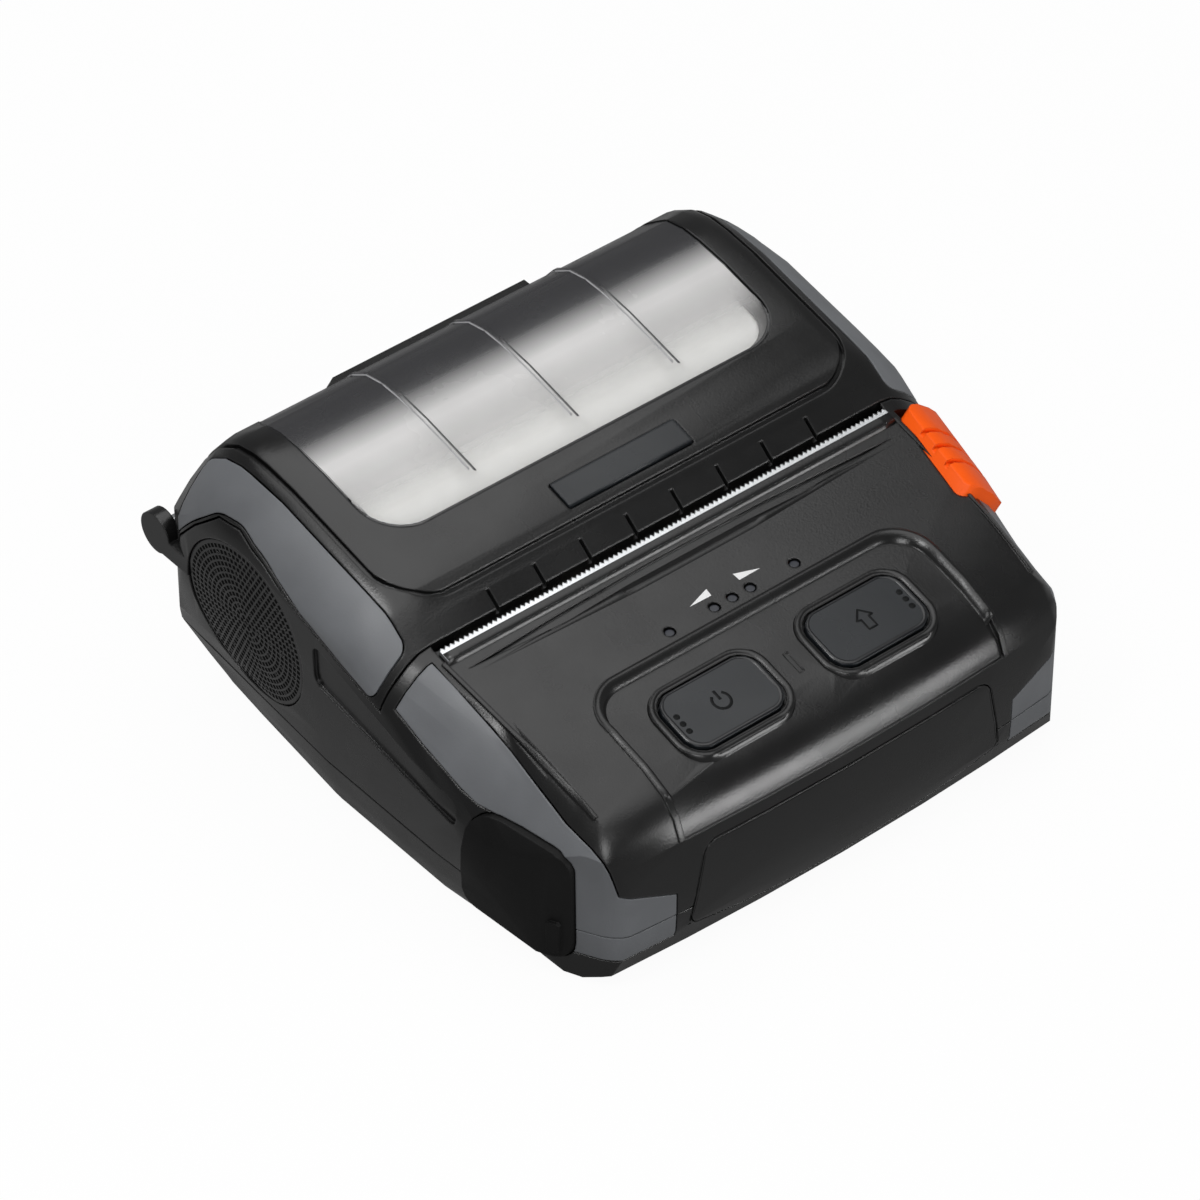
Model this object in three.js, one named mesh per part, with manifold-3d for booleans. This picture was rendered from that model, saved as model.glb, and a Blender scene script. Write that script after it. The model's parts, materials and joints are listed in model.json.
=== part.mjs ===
// Portable receipt printer for 104 mm paper, with a rear-hinged paper cover. Millimetres, +Z up.
// X runs across the paper, Y from the control panel to the hinge, Z up from the feet.
import * as THREE from 'three'
import { mergeVertices } from 'three/addons/utils/BufferGeometryUtils.js'
import Module from 'manifold-3d'

const wasm = await Module()
wasm.setup()

// Overall form
const WIDTH = 139.2
const HALF = WIDTH / 2
const DEPTH = 134
const HEIGHT = 65.4
const WALL = 2.4
const COVER_WALL = 3
const FIT = 0.3
const OVER = 5
const CUT = 1.5
const MERGE = 1e-4
const FINE = 0.14
const COARSE = 0.25
const ROUND_SIDES = 28
const CORNER_STEPS = 5
const QUARTER_TURN = 90

// Side view of the body, as shares of its depth and height, from the front foot round over the top
const PROFILE_SHARES = [
  [0.0599, 0.012], [0.0167, 0.049], [0.0029, 0.138], [0, 0.245], [0.0015, 0.398], [0.0079, 0.474],
  [0.0226, 0.544], [0.0481, 0.599], [0.0933, 0.639], [0.1601, 0.671], [0.2711, 0.706], [0.4184, 0.758],
  [0.4365, 0.778], [0.4626, 0.82], [0.4852, 0.856], [0.4999, 0.875], [0.5401, 0.896], [0.5893, 0.917],
  [0.657, 0.9465], [0.7363, 0.982], [0.7965, 0.998], [0.8344, 1], [0.8716, 0.985], [0.9096, 0.936],
  [0.947, 0.841], [0.9735, 0.742], [0.9921, 0.612], [1, 0.489], [0.9941, 0.367], [0.9696, 0.237],
  [0.9196, 0.115], [0.8465, 0.037], [0.7797, 0.012],
]
// Stations across the body, as shares of the half width
const STATION_SHARES = [0, 0.3, 0.56, 0.79, 0.82, 0.86, 0.9, 0.94, 0.97, 0.99, 1]
// Half of the plan outline, as shares of half width and depth, from the front corner to the side
const PLAN_SHARES = [
  [0.72, 0.0162], [0.775, 0.019], [0.82, 0.037], [0.863, 0.075], [0.9, 0.112], [0.933, 0.15],
  [0.975, 0.224], [0.996, 0.3], [1, 0.375],
]
// Half of the front view's lower corner, lean and full, as shares of half width and height
const LEAN_SHARES = [
  [0.76, 0.012], [0.845, 0.02], [0.878, 0.06], [0.9, 0.12], [0.927, 0.2], [0.96, 0.3], [0.985, 0.44],
    [1, 0.6],
]
const FULL_SHARES = [
  [0.84, 0.012], [0.93, 0.02], [0.952, 0.06], [0.963, 0.12], [0.975, 0.2], [0.986, 0.3], [0.995, 0.44],
    [1, 0.6],
]
// How full the lower corner is along the body, as shares of the depth and of the way from lean to full
const FULLNESS_SHARES = [
  [-0.05, 0.45], [0.14, 0.45], [0.34, 0.95], [0.58, 1], [0.78, 0.5], [0.9, 0.15], [1.05, -0.2],
]
const REAR_CORNER = 16
const BOW = { depth: 3.5, fade: 45 }
const SHOULDER_POWER = 1.4
// Where the shoulder starts and how far it falls, as shares of the depth, the half width and the height
const SHOULDER_SHARES = [
  [0, 0.76, 0.5], [0.1, 0.76, 0.5], [0.2, 0.79, 0.43], [0.28, 0.82, 0.27], [0.35, 0.85, 0.18],
    [0.43, 0.84, 0.155],
  [0.5, 0.81, 0.165], [0.6, 0.8, 0.165], [0.75, 0.8, 0.18], [0.88, 0.8, 0.24], [1, 0.8, 0.24],
]
// Heights between which the shoulder's fall fades out, as shares of the height
const DROP_SHARES = { none: 0.09, full: 0.65 }

// Split lines between the shells
const PART_Z = 13.2
const SEAM_SHARE = 0.43284
const SEAM_D = DEPTH * SEAM_SHARE
const SEAM_GAP = 0.5
const SLOT = { lead: 1, half: 57, lag: 0.6 }
const REAR_WALL = { half: 52.4, low: 26 }
// Lower edge of the cover in side view, as shares of depth and height, from the seam to the hinge
const LID_EDGE_SHARES = [
  [0.469, 0.6315], [0.528, 0.685], [0.625, 0.751], [0.708, 0.82], [0.772, 0.856], [0.821, 0.8425],
  [0.869, 0.757], [0.9157, 0.648], [0.9261, 0.589],
]
const LID = { drop: 4.8, turn: 6.3, clear: 6.7, past: 11, edge: 0.8, gap: 0.45 }

// Two-colour side strips
const STRIP = { thick: 1.3, coverInner: 61, seam: 2.2, round: 2.4 }
// Grey strip of the base in side view, as shares of depth and height, from the front corner to the seam
const CORNER_SIDE_SHARES = [
  [0.079, 0.2064], [0.079, 0.43], [0.09, 0.475], [0.12, 0.49], [0.2455, 0.512], [0.285, 0.543],
    [0.355, 0.598],
  [0.4135, 0.65],
]
// Its inner edge in front view, as shares of half width and height
const CORNER_FRONT_SHARES = [[0.845, 0.56], [0.818, 0.462], [0.799, 0.367], [0.618, 0.285], [0.618, 0.2064]]
const CORNER = { low: 7.4, deep: 14 }

// Side grille and its boss
const GRILLE = { dShare: 0.7567, zShare: 0.5153, r: 18.2, thick: 1.8, sunk: 0.3, pad: 1.5, margin: 2,
  holeR: 0.62, rings: 4, pitch: 3.9 }
const GRILLE_FIRST = 6
const HOLE_SIDES = 4

// Rear hinge
const HINGE = { dShare: 0.97314, zShare: 0.578, rod: 1.7, cap: 4.6, capThick: 3, capX: 66.4, knuckle: 4.2,
  coverHalf: 38,
  cornerHalf: 60, arm: 16.4, armDrop: 4, armRise: 0.2, web: 2.2, wallRise: 7.2 }
const RIDGE = { half: 24.5, proud: 2.6, rise: 8.8, tall: 7.4 }

// Window, raised panel and plate on the cover
const WINDOW = { half: 51, behind: 20.6, before: 4.4, radius: 10, thick: 1.7, inset: 0.2, ledge: 2.2 }
const RIB = { half: 0.5, rise: 0.35, pitch: 25.8, inset: 4.9, count: 3 }
const PANEL = { half: 58.9, behind: 5.8, past: 6, radius: 12, groove: 1, deep: 0.8 }
const PLATE = { half: 15.7, inset: 3, long: 6.2, radius: 0.5, proud: 0.4, deep: 0.5 }
const LIP = { notches: 8, pitch: 11.5, width: 0.8, deep: 1.4, reach: 3.2, thick: 2.2, lowShare: 0.74 }

// Front panel
const FRONT = { topHalf: 36, bottomHalf: 39.6, top: 27.8, low: 8.6, sag: 4.2, radius: 3.2, thick: 1.4,
  deep: 12 }

// Control deck
const TRAY = { half: 40.5, rear: 32.4, front: -8, radius: 8, deep: 1.3, rim: 1.3, rimRise: 0.4, rimDrop: 5,
  levelShare: 0.55 }
const BUTTON = { x: 18.3, d: 17.9, length: 24, width: 14.4, radius: 4.4, proud: 0.9, flange: 1,
  flangeThick: 1,
  deck: 1.3, stem: 2.2, stemLength: 1.6 }
const BEZEL = { gap: 0.6, width: 1.5, rise: 0.5 }
const DECK_TILT_SHARE = 0.236
const LED = { d: 36.3, r: 0.95, hole: 1.3, spread: 15.8, pitch: 4.55, length: 3.4, sunk: 0.35 }
const SWAGE = { half: 54, before: 7.6, width: 3.4, deep: 0.7 }

// Bead along each side of the deck: plan points as shares of half width and depth
const BEAD = { wide: 0.9, rise: 0.45 }
const BEAD_SHARES = [[0.829, 0.402], [0.822, 0.27], [0.811, 0.155], [0.8, 0.08]]

// Tear bar
const TEAR = { half: 56.5, lead: 1.4, width: 3.3, thick: 0.9, tooth: 1.15, toothDeep: 0.7, seat: 0.25 }

// Release button on the right shoulder
const RELEASE = { before: 15.5, half: 12, across: 14.3, thick: 2.4, proud: 1.6, x: 62.9, zShare: 0.6636,
  travel: 2,
  inner: 52, drop: 15.4, round: 2.6 }
const GRIP = { count: 3, pitch: 4.4, width: 1.1, deep: 0.8 }

// Rubber cover over the sockets, on the left wall
const PORT = { front: 10.8, rearLow: 37.4, rearHigh: 32, low: 5.2, above: 1, slope: 1.4, radius: 4.6,
  thick: 1.7,
  proud: 0.8, inner: 56, lipRise: 0.7, lipInset: 1.6, lipWide: 2.6, lipHigh: 8 }
const BAY = { front: 13.6, rear: 29.2, under: 2.6, over: 7.6, wall: 1.3, inner: 55.6, mouth: 58 }
const SCOOP = { deep: 0.7, front: 36, before: 22.4, frontTop: 31.4, rearTop: 44.4, frontLow: 26,
  rearLow: 34, radius: 3 }

// Printing mechanism
const PLATEN = { behind: 5, zShare: 0.6575, r: 4.7, half: 50.4, shaft: 1.5, shaftHalf: 60.2, bush: 3,
  bushX: 53.1,
  bushWide: 2.2 }
const LUG = { inner: 50.8, wide: 1.9, r: 3.2 }
const HEAD = { half: 50, below: 5.8, above: 3.6, plate: 0.7, sink: 2.4, springDrop: 2.8, springX: 30,
  fins: 12, finGap: 2.4, finDrop: 4.4 }
const SPRING = { thick: 0.5, half: 3.4, wide: 8, gap: 0.3 }
const GEAR = { module: 0.5, platen: 20, idler: 24, pinion: 12, mesh: 0.06, x: 55.6, wide: 1.7, pin: 1.4,
  pinEnd: 0.4,
  addendumShare: 0.9 }
const DEDENDUM_SHARE = 1.2
const TOOTH_ROOT_SHARE = 0.62
const TOOTH_TIP_SHARE = 0.3
const PINION_SLOPE = 0.8
const MOTOR = { r: 9.8, length: 12.6, faceX: 53.1, shaft: 1, bossR: 4, boss: 1.2 }

// Chassis
const CHASSIS = { inner: 53.4, wall: 1.6, cradle: 26, skin: 1.6, dShare: 0.7015, drop: 7, rise: 1,
  before: 14.4,
  frontThick: 1.7, foot: 9.5, rearSpan: 25.5, plateLead: 7 }
const CRADLE_START_SHARE = 0.54
const CRADLE_END_SHARE = 0.96
const LATCH = { x: 57.8, wide: 1.4, reliefDrop: 0.2, bar: 2.8, drop: 10, tall: 2.4, noseDrop: 1, nose: 2.6,
  travel: 2 }

// Paper
const ROLL = { r: 24.5, half: 51.8, core: 7.4, bore: 5.9, sides: 36 }

// Battery and boards
const BATTERY = { half: 36, front: 11, before: 4, high: 19.6, base: 0.9, radius: 2, grip: 1.2, gripHalf: 12,
  gripWide: 3, travel: 22 }
const BATTERY_BAY = { wall: 1.8 }
const CATCH = { half: 9, gap: 2.7, long: 7, travel: 3, rib: 0.5, ribPitch: 2, flange: 1.6, flangeThick: 1 }
const BOARD = { thick: 1.6, drop: 7.8, half: 50, left: 55, front: 8.4, before: 16.2, postX: 30, postEdge: 5 }
const CHIP_SHARES = [[0.3, 0.5, 1.6], [-0.3, 0.6, 1.1], [0.7, 0.6, 1], [-0.6, 0.35, 0.9]]
const CHIP = 4
const CHIP_HIGH = 1.4
const KEYS = { zShare: 0.4954, half: 44, front: 9, before: 17, post: 2, postX: 36, postEdge: 3.4, key: 3,
  keyHigh: 2.5 }
const SOCKET = { length: 7, usbWide: 7, usbHigh: 3, dcWide: 4.6, dcHigh: 5, dcBore: 1.7, usbD: 24.2,
  dcD: 17.4,
  shell: 0.6 }

// Fasteners and feet
const SCREW = { head: 2.7, headHigh: 1.8, shank: 1.3, length: 18, post: 3.6, postTop: 24, web: 2, sink: 3.2,
  slot: 1.5, slotWide: 0.6, slotDeep: 0.8 }
const SCREW_PLACES = { frontX: 59, before: 12, rearX: 59.2, grilleLead: 3.4 }
const FOOT = { r: 5, x: 50, front: 16, seat: 0.9 }
const RIBS = { half: 46, thick: 1.8, high: 14, first: 24, pitch: 24 }

// Places along the depth, which follow the seam, the platen and the hinge
SLOT.front = SEAM_D - SLOT.lead
SLOT.rear = SEAM_D + SLOT.lag
HINGE.d = DEPTH * HINGE.dShare
HINGE.armFront = HINGE.d - HINGE.arm
HINGE.webFront = HINGE.d - HINGE.web
HINGE.webRear = HINGE.d + HINGE.web
LID.rear = DEPTH + LID.past
GRILLE.d = DEPTH * GRILLE.dShare
WINDOW.front = SEAM_D + WINDOW.behind
WINDOW.rear = HINGE.d - WINDOW.before
RIB.front = WINDOW.front + RIB.inset
PANEL.front = SEAM_D + PANEL.behind
PANEL.rear = DEPTH + PANEL.past
PLATE.front = PANEL.front + PLATE.inset
PLATE.rear = PLATE.front + PLATE.long
SWAGE.d = SEAM_D - SWAGE.before
TEAR.tip = SEAM_D - TEAR.lead
RELEASE.d = SEAM_D - RELEASE.before
SCOOP.rear = GRILLE.d - SCOOP.before
PLATEN.d = SEAM_D + PLATEN.behind
CHASSIS.d = DEPTH * CHASSIS.dShare
CHASSIS.front = PLATEN.d - CHASSIS.before
CHASSIS.rear = CHASSIS.d + CHASSIS.rearSpan
CHASSIS.plateFront = PLATEN.d - CHASSIS.plateLead
BATTERY.rear = SEAM_D - BATTERY.before
CATCH.front = BATTERY.rear + CATCH.gap
CATCH.rear = CATCH.front + CATCH.long
BOARD.rear = SEAM_D - BOARD.before
KEYS.rear = SEAM_D - KEYS.before
SCREW_PLACES.frontD = SEAM_D - SCREW_PLACES.before
SCREW_PLACES.rearD = GRILLE.d - SCREW_PLACES.grilleLead
FOOT.rear = SCREW_PLACES.rearD
RIBS.ds = [SEAM_D + RIBS.first, SEAM_D + RIBS.first + RIBS.pitch]

// Heights, which follow the height of the body, the platen and the hinge
HINGE.z = HEIGHT * HINGE.zShare
HINGE.armLow = HINGE.z - HINGE.armDrop
HINGE.armHigh = HINGE.z + HINGE.armRise
HINGE.wallTop = HINGE.z + HINGE.wallRise
LID.low = HINGE.z - LID.drop
RIDGE.low = HINGE.z + RIDGE.rise
RIDGE.high = RIDGE.low + RIDGE.tall
GRILLE.z = HEIGHT * GRILLE.zShare
LIP.low = HEIGHT * LIP.lowShare
TRAY.level = HEIGHT * TRAY.levelShare
TRAY.rimLow = TRAY.level - TRAY.rimDrop
RELEASE.z = HEIGHT * RELEASE.zShare
RELEASE.low = RELEASE.z - RELEASE.drop
PLATEN.z = HEIGHT * PLATEN.zShare
HEAD.low = PLATEN.z - HEAD.below
HEAD.high = PLATEN.z + HEAD.above
HEAD.springZ = PLATEN.z - HEAD.springDrop
HEAD.finLow = PLATEN.z - HEAD.finDrop
CHASSIS.z = PLATEN.z - CHASSIS.drop
CHASSIS.wallLow = CHASSIS.z
CHASSIS.wallTop = PLATEN.z + CHASSIS.rise
CHASSIS.wallHigh = CHASSIS.wallTop
LATCH.low = PLATEN.z - LATCH.drop
LATCH.high = LATCH.low + LATCH.tall
LATCH.noseTop = PLATEN.z - LATCH.noseDrop
LATCH.relief = PLATEN.z - LATCH.reliefDrop
KEYS.z = HEIGHT * KEYS.zShare
BOARD.z = KEYS.z - BOARD.drop
BAY.low = BOARD.z - BAY.under
BAY.high = BOARD.z + BAY.over
PORT.high = BAY.high + PORT.above

const TOTAL_DEPTH = HINGE.d + HINGE.cap
const ROLL_Z = CHASSIS.z - CHASSIS.cradle + ROLL.r + FIT

const clamp = THREE.MathUtils.clamp
const lerp = THREE.MathUtils.lerp

// Solids and booleans
function solidOf(geometry) {
  const bare = geometry.clone()
  bare.deleteAttribute('normal')
  bare.deleteAttribute('uv')
  const merged = mergeVertices(bare, MERGE)
  const vertProperties = Float32Array.from(merged.attributes.position.array)
  const triVerts = Uint32Array.from(merged.index.array)
  return new wasm.Manifold(new wasm.Mesh({ numProp: 3, vertProperties, triVerts }))
}

function join(...solids) {
  return solids.reduce((sum, solid) => sum.add(solid))
}

function cut(solid, ...tools) {
  return tools.reduce((rest, tool) => rest.subtract(tool), solid)
}

function common(...solids) {
  return solids.reduce((shared, solid) => shared.intersect(solid))
}

function largest(solid) {
  const pieces = solid.decompose()
  return pieces.reduce((best, piece) => (piece.volume() > best.volume() ? piece : best))
}

function mirrored(solid) {
  return solid.mirror([1, 0, 0])
}

// A prism on a closed outline: axis x takes points as (d, z), axis y as (x, z) and axis z as (x, d)
function prism(points, from, to, axis) {
  const outline = new THREE.Shape(points.map(([a, b]) => new THREE.Vector2(a, b)))
  const geometry = new THREE.ExtrudeGeometry(outline, { depth: to - from, bevelEnabled: false })
  geometry.translate(0, 0, from)
  if (axis === 'x') geometry.applyMatrix4(new THREE.Matrix4().makeBasis(
    new THREE.Vector3(0, 1, 0), new THREE.Vector3(0, 0, 1), new THREE.Vector3(1, 0, 0)))
  if (axis === 'y') {
    geometry.translate(0, 0, -from - to)
    geometry.rotateX(Math.PI / 2)
  }
  return solidOf(geometry)
}

function block(x0, x1, d0, d1, z0, z1) {
  const geometry = new THREE.BoxGeometry(x1 - x0, d1 - d0, z1 - z0)
  geometry.translate((x0 + x1) / 2, (d0 + d1) / 2, (z0 + z1) / 2)
  return solidOf(geometry)
}

// A round bar along X at depth d and height z
function bar(r, x0, x1, d, z, sides = ROUND_SIDES) {
  const geometry = new THREE.CylinderGeometry(r, r, x1 - x0, sides)
  geometry.rotateZ(-Math.PI / 2)
  geometry.translate((x0 + x1) / 2, d, z)
  return solidOf(geometry)
}

// A round post along Z
function post(r, x, d, z0, z1, sides = ROUND_SIDES) {
  const geometry = new THREE.CylinderGeometry(r, r, z1 - z0, sides)
  geometry.rotateX(Math.PI / 2)
  geometry.translate(x, d, (z0 + z1) / 2)
  return solidOf(geometry)
}

function roundedRect(a0, a1, b0, b1, r) {
  const outline = new THREE.Path()
  outline.absarc(a1 - r, b0 + r, r, -Math.PI / 2, 0, false)
  outline.absarc(a1 - r, b1 - r, r, 0, Math.PI / 2, false)
  outline.absarc(a0 + r, b1 - r, r, Math.PI / 2, Math.PI, false)
  outline.absarc(a0 + r, b0 + r, r, Math.PI, Math.PI * 1.5, false)
  return loopOf(outline.getPoints(CORNER_STEPS))
}

// Points of a path without repeats
function loopOf(points) {
  const loop = []
  for (const point of points) {
    const last = loop[loop.length - 1]
    if (!last || Math.hypot(point.x - last[0], point.y - last[1]) > MERGE) loop.push([point.x, point.y])
  }
  const [first, end] = [loop[0], loop[loop.length - 1]]
  if (Math.hypot(first[0] - end[0], first[1] - end[1]) <= MERGE) loop.pop()
  return loop
}

// Moves each edge of a counterclockwise outline inwards by the inset
function insetLoop(points, inset) {
  const count = points.length
  const normalOf = (from, to) => {
    const length = Math.hypot(to[0] - from[0], to[1] - from[1])
    return [-(to[1] - from[1]) / length, (to[0] - from[0]) / length]
  }
  return points.map((point, i) => {
    const before = normalOf(points[(i + count - 1) % count], point)
    const after = normalOf(point, points[(i + 1) % count])
    const scale = inset / (1 + before[0] * after[0] + before[1] * after[1])
    return [point[0] + (before[0] + after[0]) * scale, point[1] + (before[1] + after[1]) * scale]
  })
}

// Body form
const profile = PROFILE_SHARES.map(([d, z]) => [d * DEPTH, z * HEIGHT]).reverse()

function topAt(d) {
  const ups = PROFILE_SHARES.map(([a, b]) => [a * DEPTH, b * HEIGHT]).filter(([, z]) => z > TRAY.level)
  for (let i = 1; i < ups.length; i += 1) {
    const [[d0, z0], [d1, z1]] = [ups[i - 1], ups[i]]
    if (d >= d0 && d <= d1) return lerp(z0, z1, (d - d0) / (d1 - d0))
  }
  return HEIGHT
}

// Value of one column of a table along the depth, whose first column is the share of the depth
function along(table, column, d) {
  const next = table.findIndex(([share]) => share * DEPTH >= d)
  if (next < 0) return table[table.length - 1][column]
  if (next === 0) return table[0][column]
  const [from, to] = [table[next - 1], table[next]]
  return lerp(from[column], to[column], (d / DEPTH - from[0]) / (to[0] - from[0]))
}

function shoulderDrop(reach, d) {
  const start = along(SHOULDER_SHARES, 1, d) * HALF
  const run = clamp((reach - start) / (HALF - start), 0, 1)
  return along(SHOULDER_SHARES, 2, d) * HEIGHT * (1 - (1 - run ** SHOULDER_POWER) ** (1 / SHOULDER_POWER))
}

function bowAt(x, d) {
  const share = x / HALF
  return BOW.depth * share * share * clamp(1 - d / BOW.fade, 0, 1)
}

function surfaceAt(x, d) {
  return topAt(d) - shoulderDrop(Math.abs(x), d)
}

function planLoop() {
  const bend = new THREE.SplineCurve(PLAN_SHARES.map(([x, d]) => new THREE.Vector2(x * HALF, d * DEPTH)))
  const side = new THREE.Path()
  side.absarc(HALF - REAR_CORNER, DEPTH - REAR_CORNER, REAR_CORNER, 0, Math.PI / 2, false)
  const right = [...bend.getPoints(PLAN_SHARES.length * 2), ...side.getPoints(CORNER_STEPS * 2)]
  const half = right.map((point) => [point.x, point.y])
  const front = STATION_SHARES.filter((share) => share > 0 && share < PLAN_SHARES[0][0])
    .map((share) => [share * HALF, bowAt(share * HALF, 0)])
  const rightSide = [...front, ...half]
  const left = [...rightSide].reverse().map(([x, d]) => [-x, d])
  return [[0, 0], ...rightSide, ...left]
}

function underLoop(full) {
  const right = LEAN_SHARES.map(([x, z], i) => {
    return [lerp(x, FULL_SHARES[i][0], full) * HALF, lerp(z, FULL_SHARES[i][1], full) * HEIGHT]
  })
  const top = HEIGHT + OVER * 2
  const left = [...right].reverse().map(([x, z]) => [-x, z])
  return [...right, [HALF, top], [-HALF, top], ...left]
}

// A closed solid on equal rings of points, given one after the other
function loft(rings, flatten) {
  const count = rings[0].length
  const faces = []
  for (let s = 0; s + 1 < rings.length; s += 1) {
    for (let i = 0; i < count; i += 1) {
      const [a, b] = [s * count + i, s * count + ((i + 1) % count)]
      faces.push(a, b, a + count, a + count, b, b + count)
    }
  }
  const last = rings.length - 1
  const flat = (ring) => ring.map((point) => new THREE.Vector2(...flatten(point)))
  for (const [a, b, c] of THREE.ShapeUtils.triangulateShape(flat(rings[0]), [])) faces.push(a, c, b)
  for (const [a, b, c] of THREE.ShapeUtils.triangulateShape(flat(rings[last]), [])) {
    faces.push(last * count + a, last * count + b, last * count + c)
  }
  const geometry = new THREE.BufferGeometry()
  geometry.setAttribute('position', new THREE.Float32BufferAttribute(rings.flat(2), 3))
  geometry.setIndex(faces)
  return solidOf(geometry)
}

// The outer form of the whole body, moved inwards by the inset
function formOf(inset) {
  const section = insetLoop(profile, inset)
  const reach = HALF - inset
  const shares = [...STATION_SHARES.slice(1).map((share) => -share).reverse(), ...STATION_SHARES]
  const ribs = shares.map((share) => section.map(([d, z]) => {
    const x = share * reach
    const fade = (z / HEIGHT - DROP_SHARES.none) / (DROP_SHARES.full - DROP_SHARES.none)
    const drop = shoulderDrop(Math.abs(x) + inset, d) * clamp(fade, 0, 1)
    return [x, d + bowAt(x, d), z - drop]
  }))
  const whole = loft(ribs, ([, d, z]) => [d, z])
  const plan = prism(insetLoop(planLoop(), inset), -OVER, HEIGHT + OVER, 'z')
  const frames = FULLNESS_SHARES.map(([share, full]) => {
    return insetLoop(underLoop(full), inset).map(([x, z]) => [x, share * DEPTH, z])
  })
  const under = loft(frames.reverse(), ([x, , z]) => [x, z])
  return common(whole, plan, under).asOriginal().simplify(inset > STRIP.thick + FIT ? COARSE : FINE / 2)
}

const forms = new Map()
function form(inset) {
  if (!forms.has(inset)) forms.set(inset, formOf(inset))
  return forms.get(inset)
}

// The layer of the body between two depths under its surface
function skin(outer, inner) {
  return cut(form(outer), form(inner))
}

// Shared cutting shapes
function roundCorners(points, radius) {
  const count = points.length
  const path = new THREE.Path()
  points.forEach(([a, b], i) => {
    const [a0, b0] = points[(i + count - 1) % count]
    const [a1, b1] = points[(i + 1) % count]
    const back = Math.min(radius / Math.hypot(a0 - a, b0 - b), 1 / 2)
    const ahead = Math.min(radius / Math.hypot(a1 - a, b1 - b), 1 / 2)
    const start = [lerp(a, a0, back), lerp(b, b0, back)]
    if (i === 0) path.moveTo(...start)
    else path.lineTo(...start)
    path.quadraticCurveTo(a, b, lerp(a, a1, ahead), lerp(b, b1, ahead))
  })
  return loopOf(path.getPoints(CORNER_STEPS))
}

function grow(points, gap) {
  return insetLoop(points, -gap)
}

// The layer above a lowered copy of the body, which fades out on upright faces
function lowered(depth) {
  return cut(form(-CUT), form(0).translate([0, 0, -depth]))
}

// Side view of the cover: its edge, an arc round the hinge and the rear wall
function lidOutline(front = SEAM_D + SEAM_GAP) {
  const arc = new THREE.Path()
  const end = Math.PI + Math.asin((HINGE.z - LID.low) / LID.turn)
  arc.absarc(HINGE.d, HINGE.z, LID.turn, Math.PI, end, false)
  const edge = LID_EDGE_SHARES.map(([d, z]) => [d * DEPTH, z * HEIGHT])
  const top = HEIGHT + OVER * 2
  return [[front, LID_EDGE_SHARES[0][1] * HEIGHT], ...edge.slice(1), ...loopOf(arc.getPoints(CORNER_STEPS)),
    [LID.rear, LID.low], [LID.rear, top], [front, top]]
}

function coverRegion(gap) {
  return prism(grow(lidOutline(), gap), -HALF - OVER, HALF + OVER, 'x')
}

function hingeClear(radius, from, to) {
  return bar(radius, from, to, HINGE.d, HINGE.z)
}

function windowOutline() {
  return roundedRect(-WINDOW.half, WINDOW.half, WINDOW.front, WINDOW.rear, WINDOW.radius)
}

function panelOutline() {
  return roundedRect(-PANEL.half, PANEL.half, PANEL.front, PANEL.rear, PANEL.radius)
}

function plateOutline() {
  return roundedRect(-PLATE.half, PLATE.half, PLATE.front, PLATE.rear, PLATE.radius)
}

function frontOutline() {
  const sag = new THREE.QuadraticBezierCurve(
    new THREE.Vector2(-FRONT.bottomHalf, FRONT.low),
    new THREE.Vector2(0, FRONT.low - FRONT.sag * 2),
    new THREE.Vector2(FRONT.bottomHalf, FRONT.low))
  const bottom = sag.getPoints(CORNER_STEPS * 2).map((point) => [point.x, point.y])
  return roundCorners([...bottom, [FRONT.topHalf, FRONT.top], [-FRONT.topHalf, FRONT.top]], FRONT.radius)
}

function frontLayer(outer, inner, gap) {
  return common(skin(outer, inner), prism(grow(frontOutline(), gap), -OVER, FRONT.deep, 'y'))
}

function portOutline() {
  return roundCorners([[PORT.front, PORT.low], [PORT.rearLow, PORT.low], [PORT.rearHigh, PORT.high],
    [PORT.front, PORT.high - PORT.slope]], PORT.radius)
}

function clearOfPort(solid) {
  return largest(cut(solid, portLayer(-OVER, OVER, FIT)))
}

function portLayer(outer, inner, gap) {
  return common(skin(outer, inner), prism(grow(portOutline(), gap), -HALF - OVER, -PORT.inner, 'x'))
}

// The press direction of the release button is square to the shoulder, at 45 degrees
function releaseRegion(gap) {
  const half = RELEASE.across / 2
  const outline = grow(roundedRect(-half, half, -RELEASE.half, RELEASE.half, RELEASE.round), gap)
  const facing = prism(outline, -HEIGHT, HEIGHT, 'z').rotate([0, QUARTER_TURN / 2, 0])
  return common(facing.translate([RELEASE.x, RELEASE.d, RELEASE.z]),
    block(RELEASE.inner, HALF + OVER, 0, DEPTH, RELEASE.low, HEIGHT + OVER))
}

// Grey side strip of the base, on the right side, down the front corner and round to its tongue
function baseStripRegion(gap) {
  const top = HEIGHT + OVER * 2
  const side = CORNER_SIDE_SHARES.map(([d, z]) => [d * DEPTH, z * HEIGHT])
  const front = CORNER_FRONT_SHARES.map(([x, z]) => [x * HALF, z * HEIGHT])
  const sideLoop = [[-OVER, side[0][1]], ...side, [side[side.length - 1][0], top], [-OVER, top]]
  const frontLoop = [[HALF + OVER * 2, front[front.length - 1][1]], [HALF + OVER * 2, top],
    [front[0][0], top], ...front]
  return common(prism(grow(sideLoop, gap), front[3][0] - gap, HALF + OVER, 'x'),
    prism(grow(frontLoop, gap), -OVER, SEAM_D, 'y'))
}

function lowerCornerRegion(gap) {
  const inner = CORNER_FRONT_SHARES[3][0] * HALF
  return block(inner - gap, HALF + OVER, -OVER, CORNER.deep + gap, CORNER.low - gap, PART_Z + gap)
}

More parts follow.
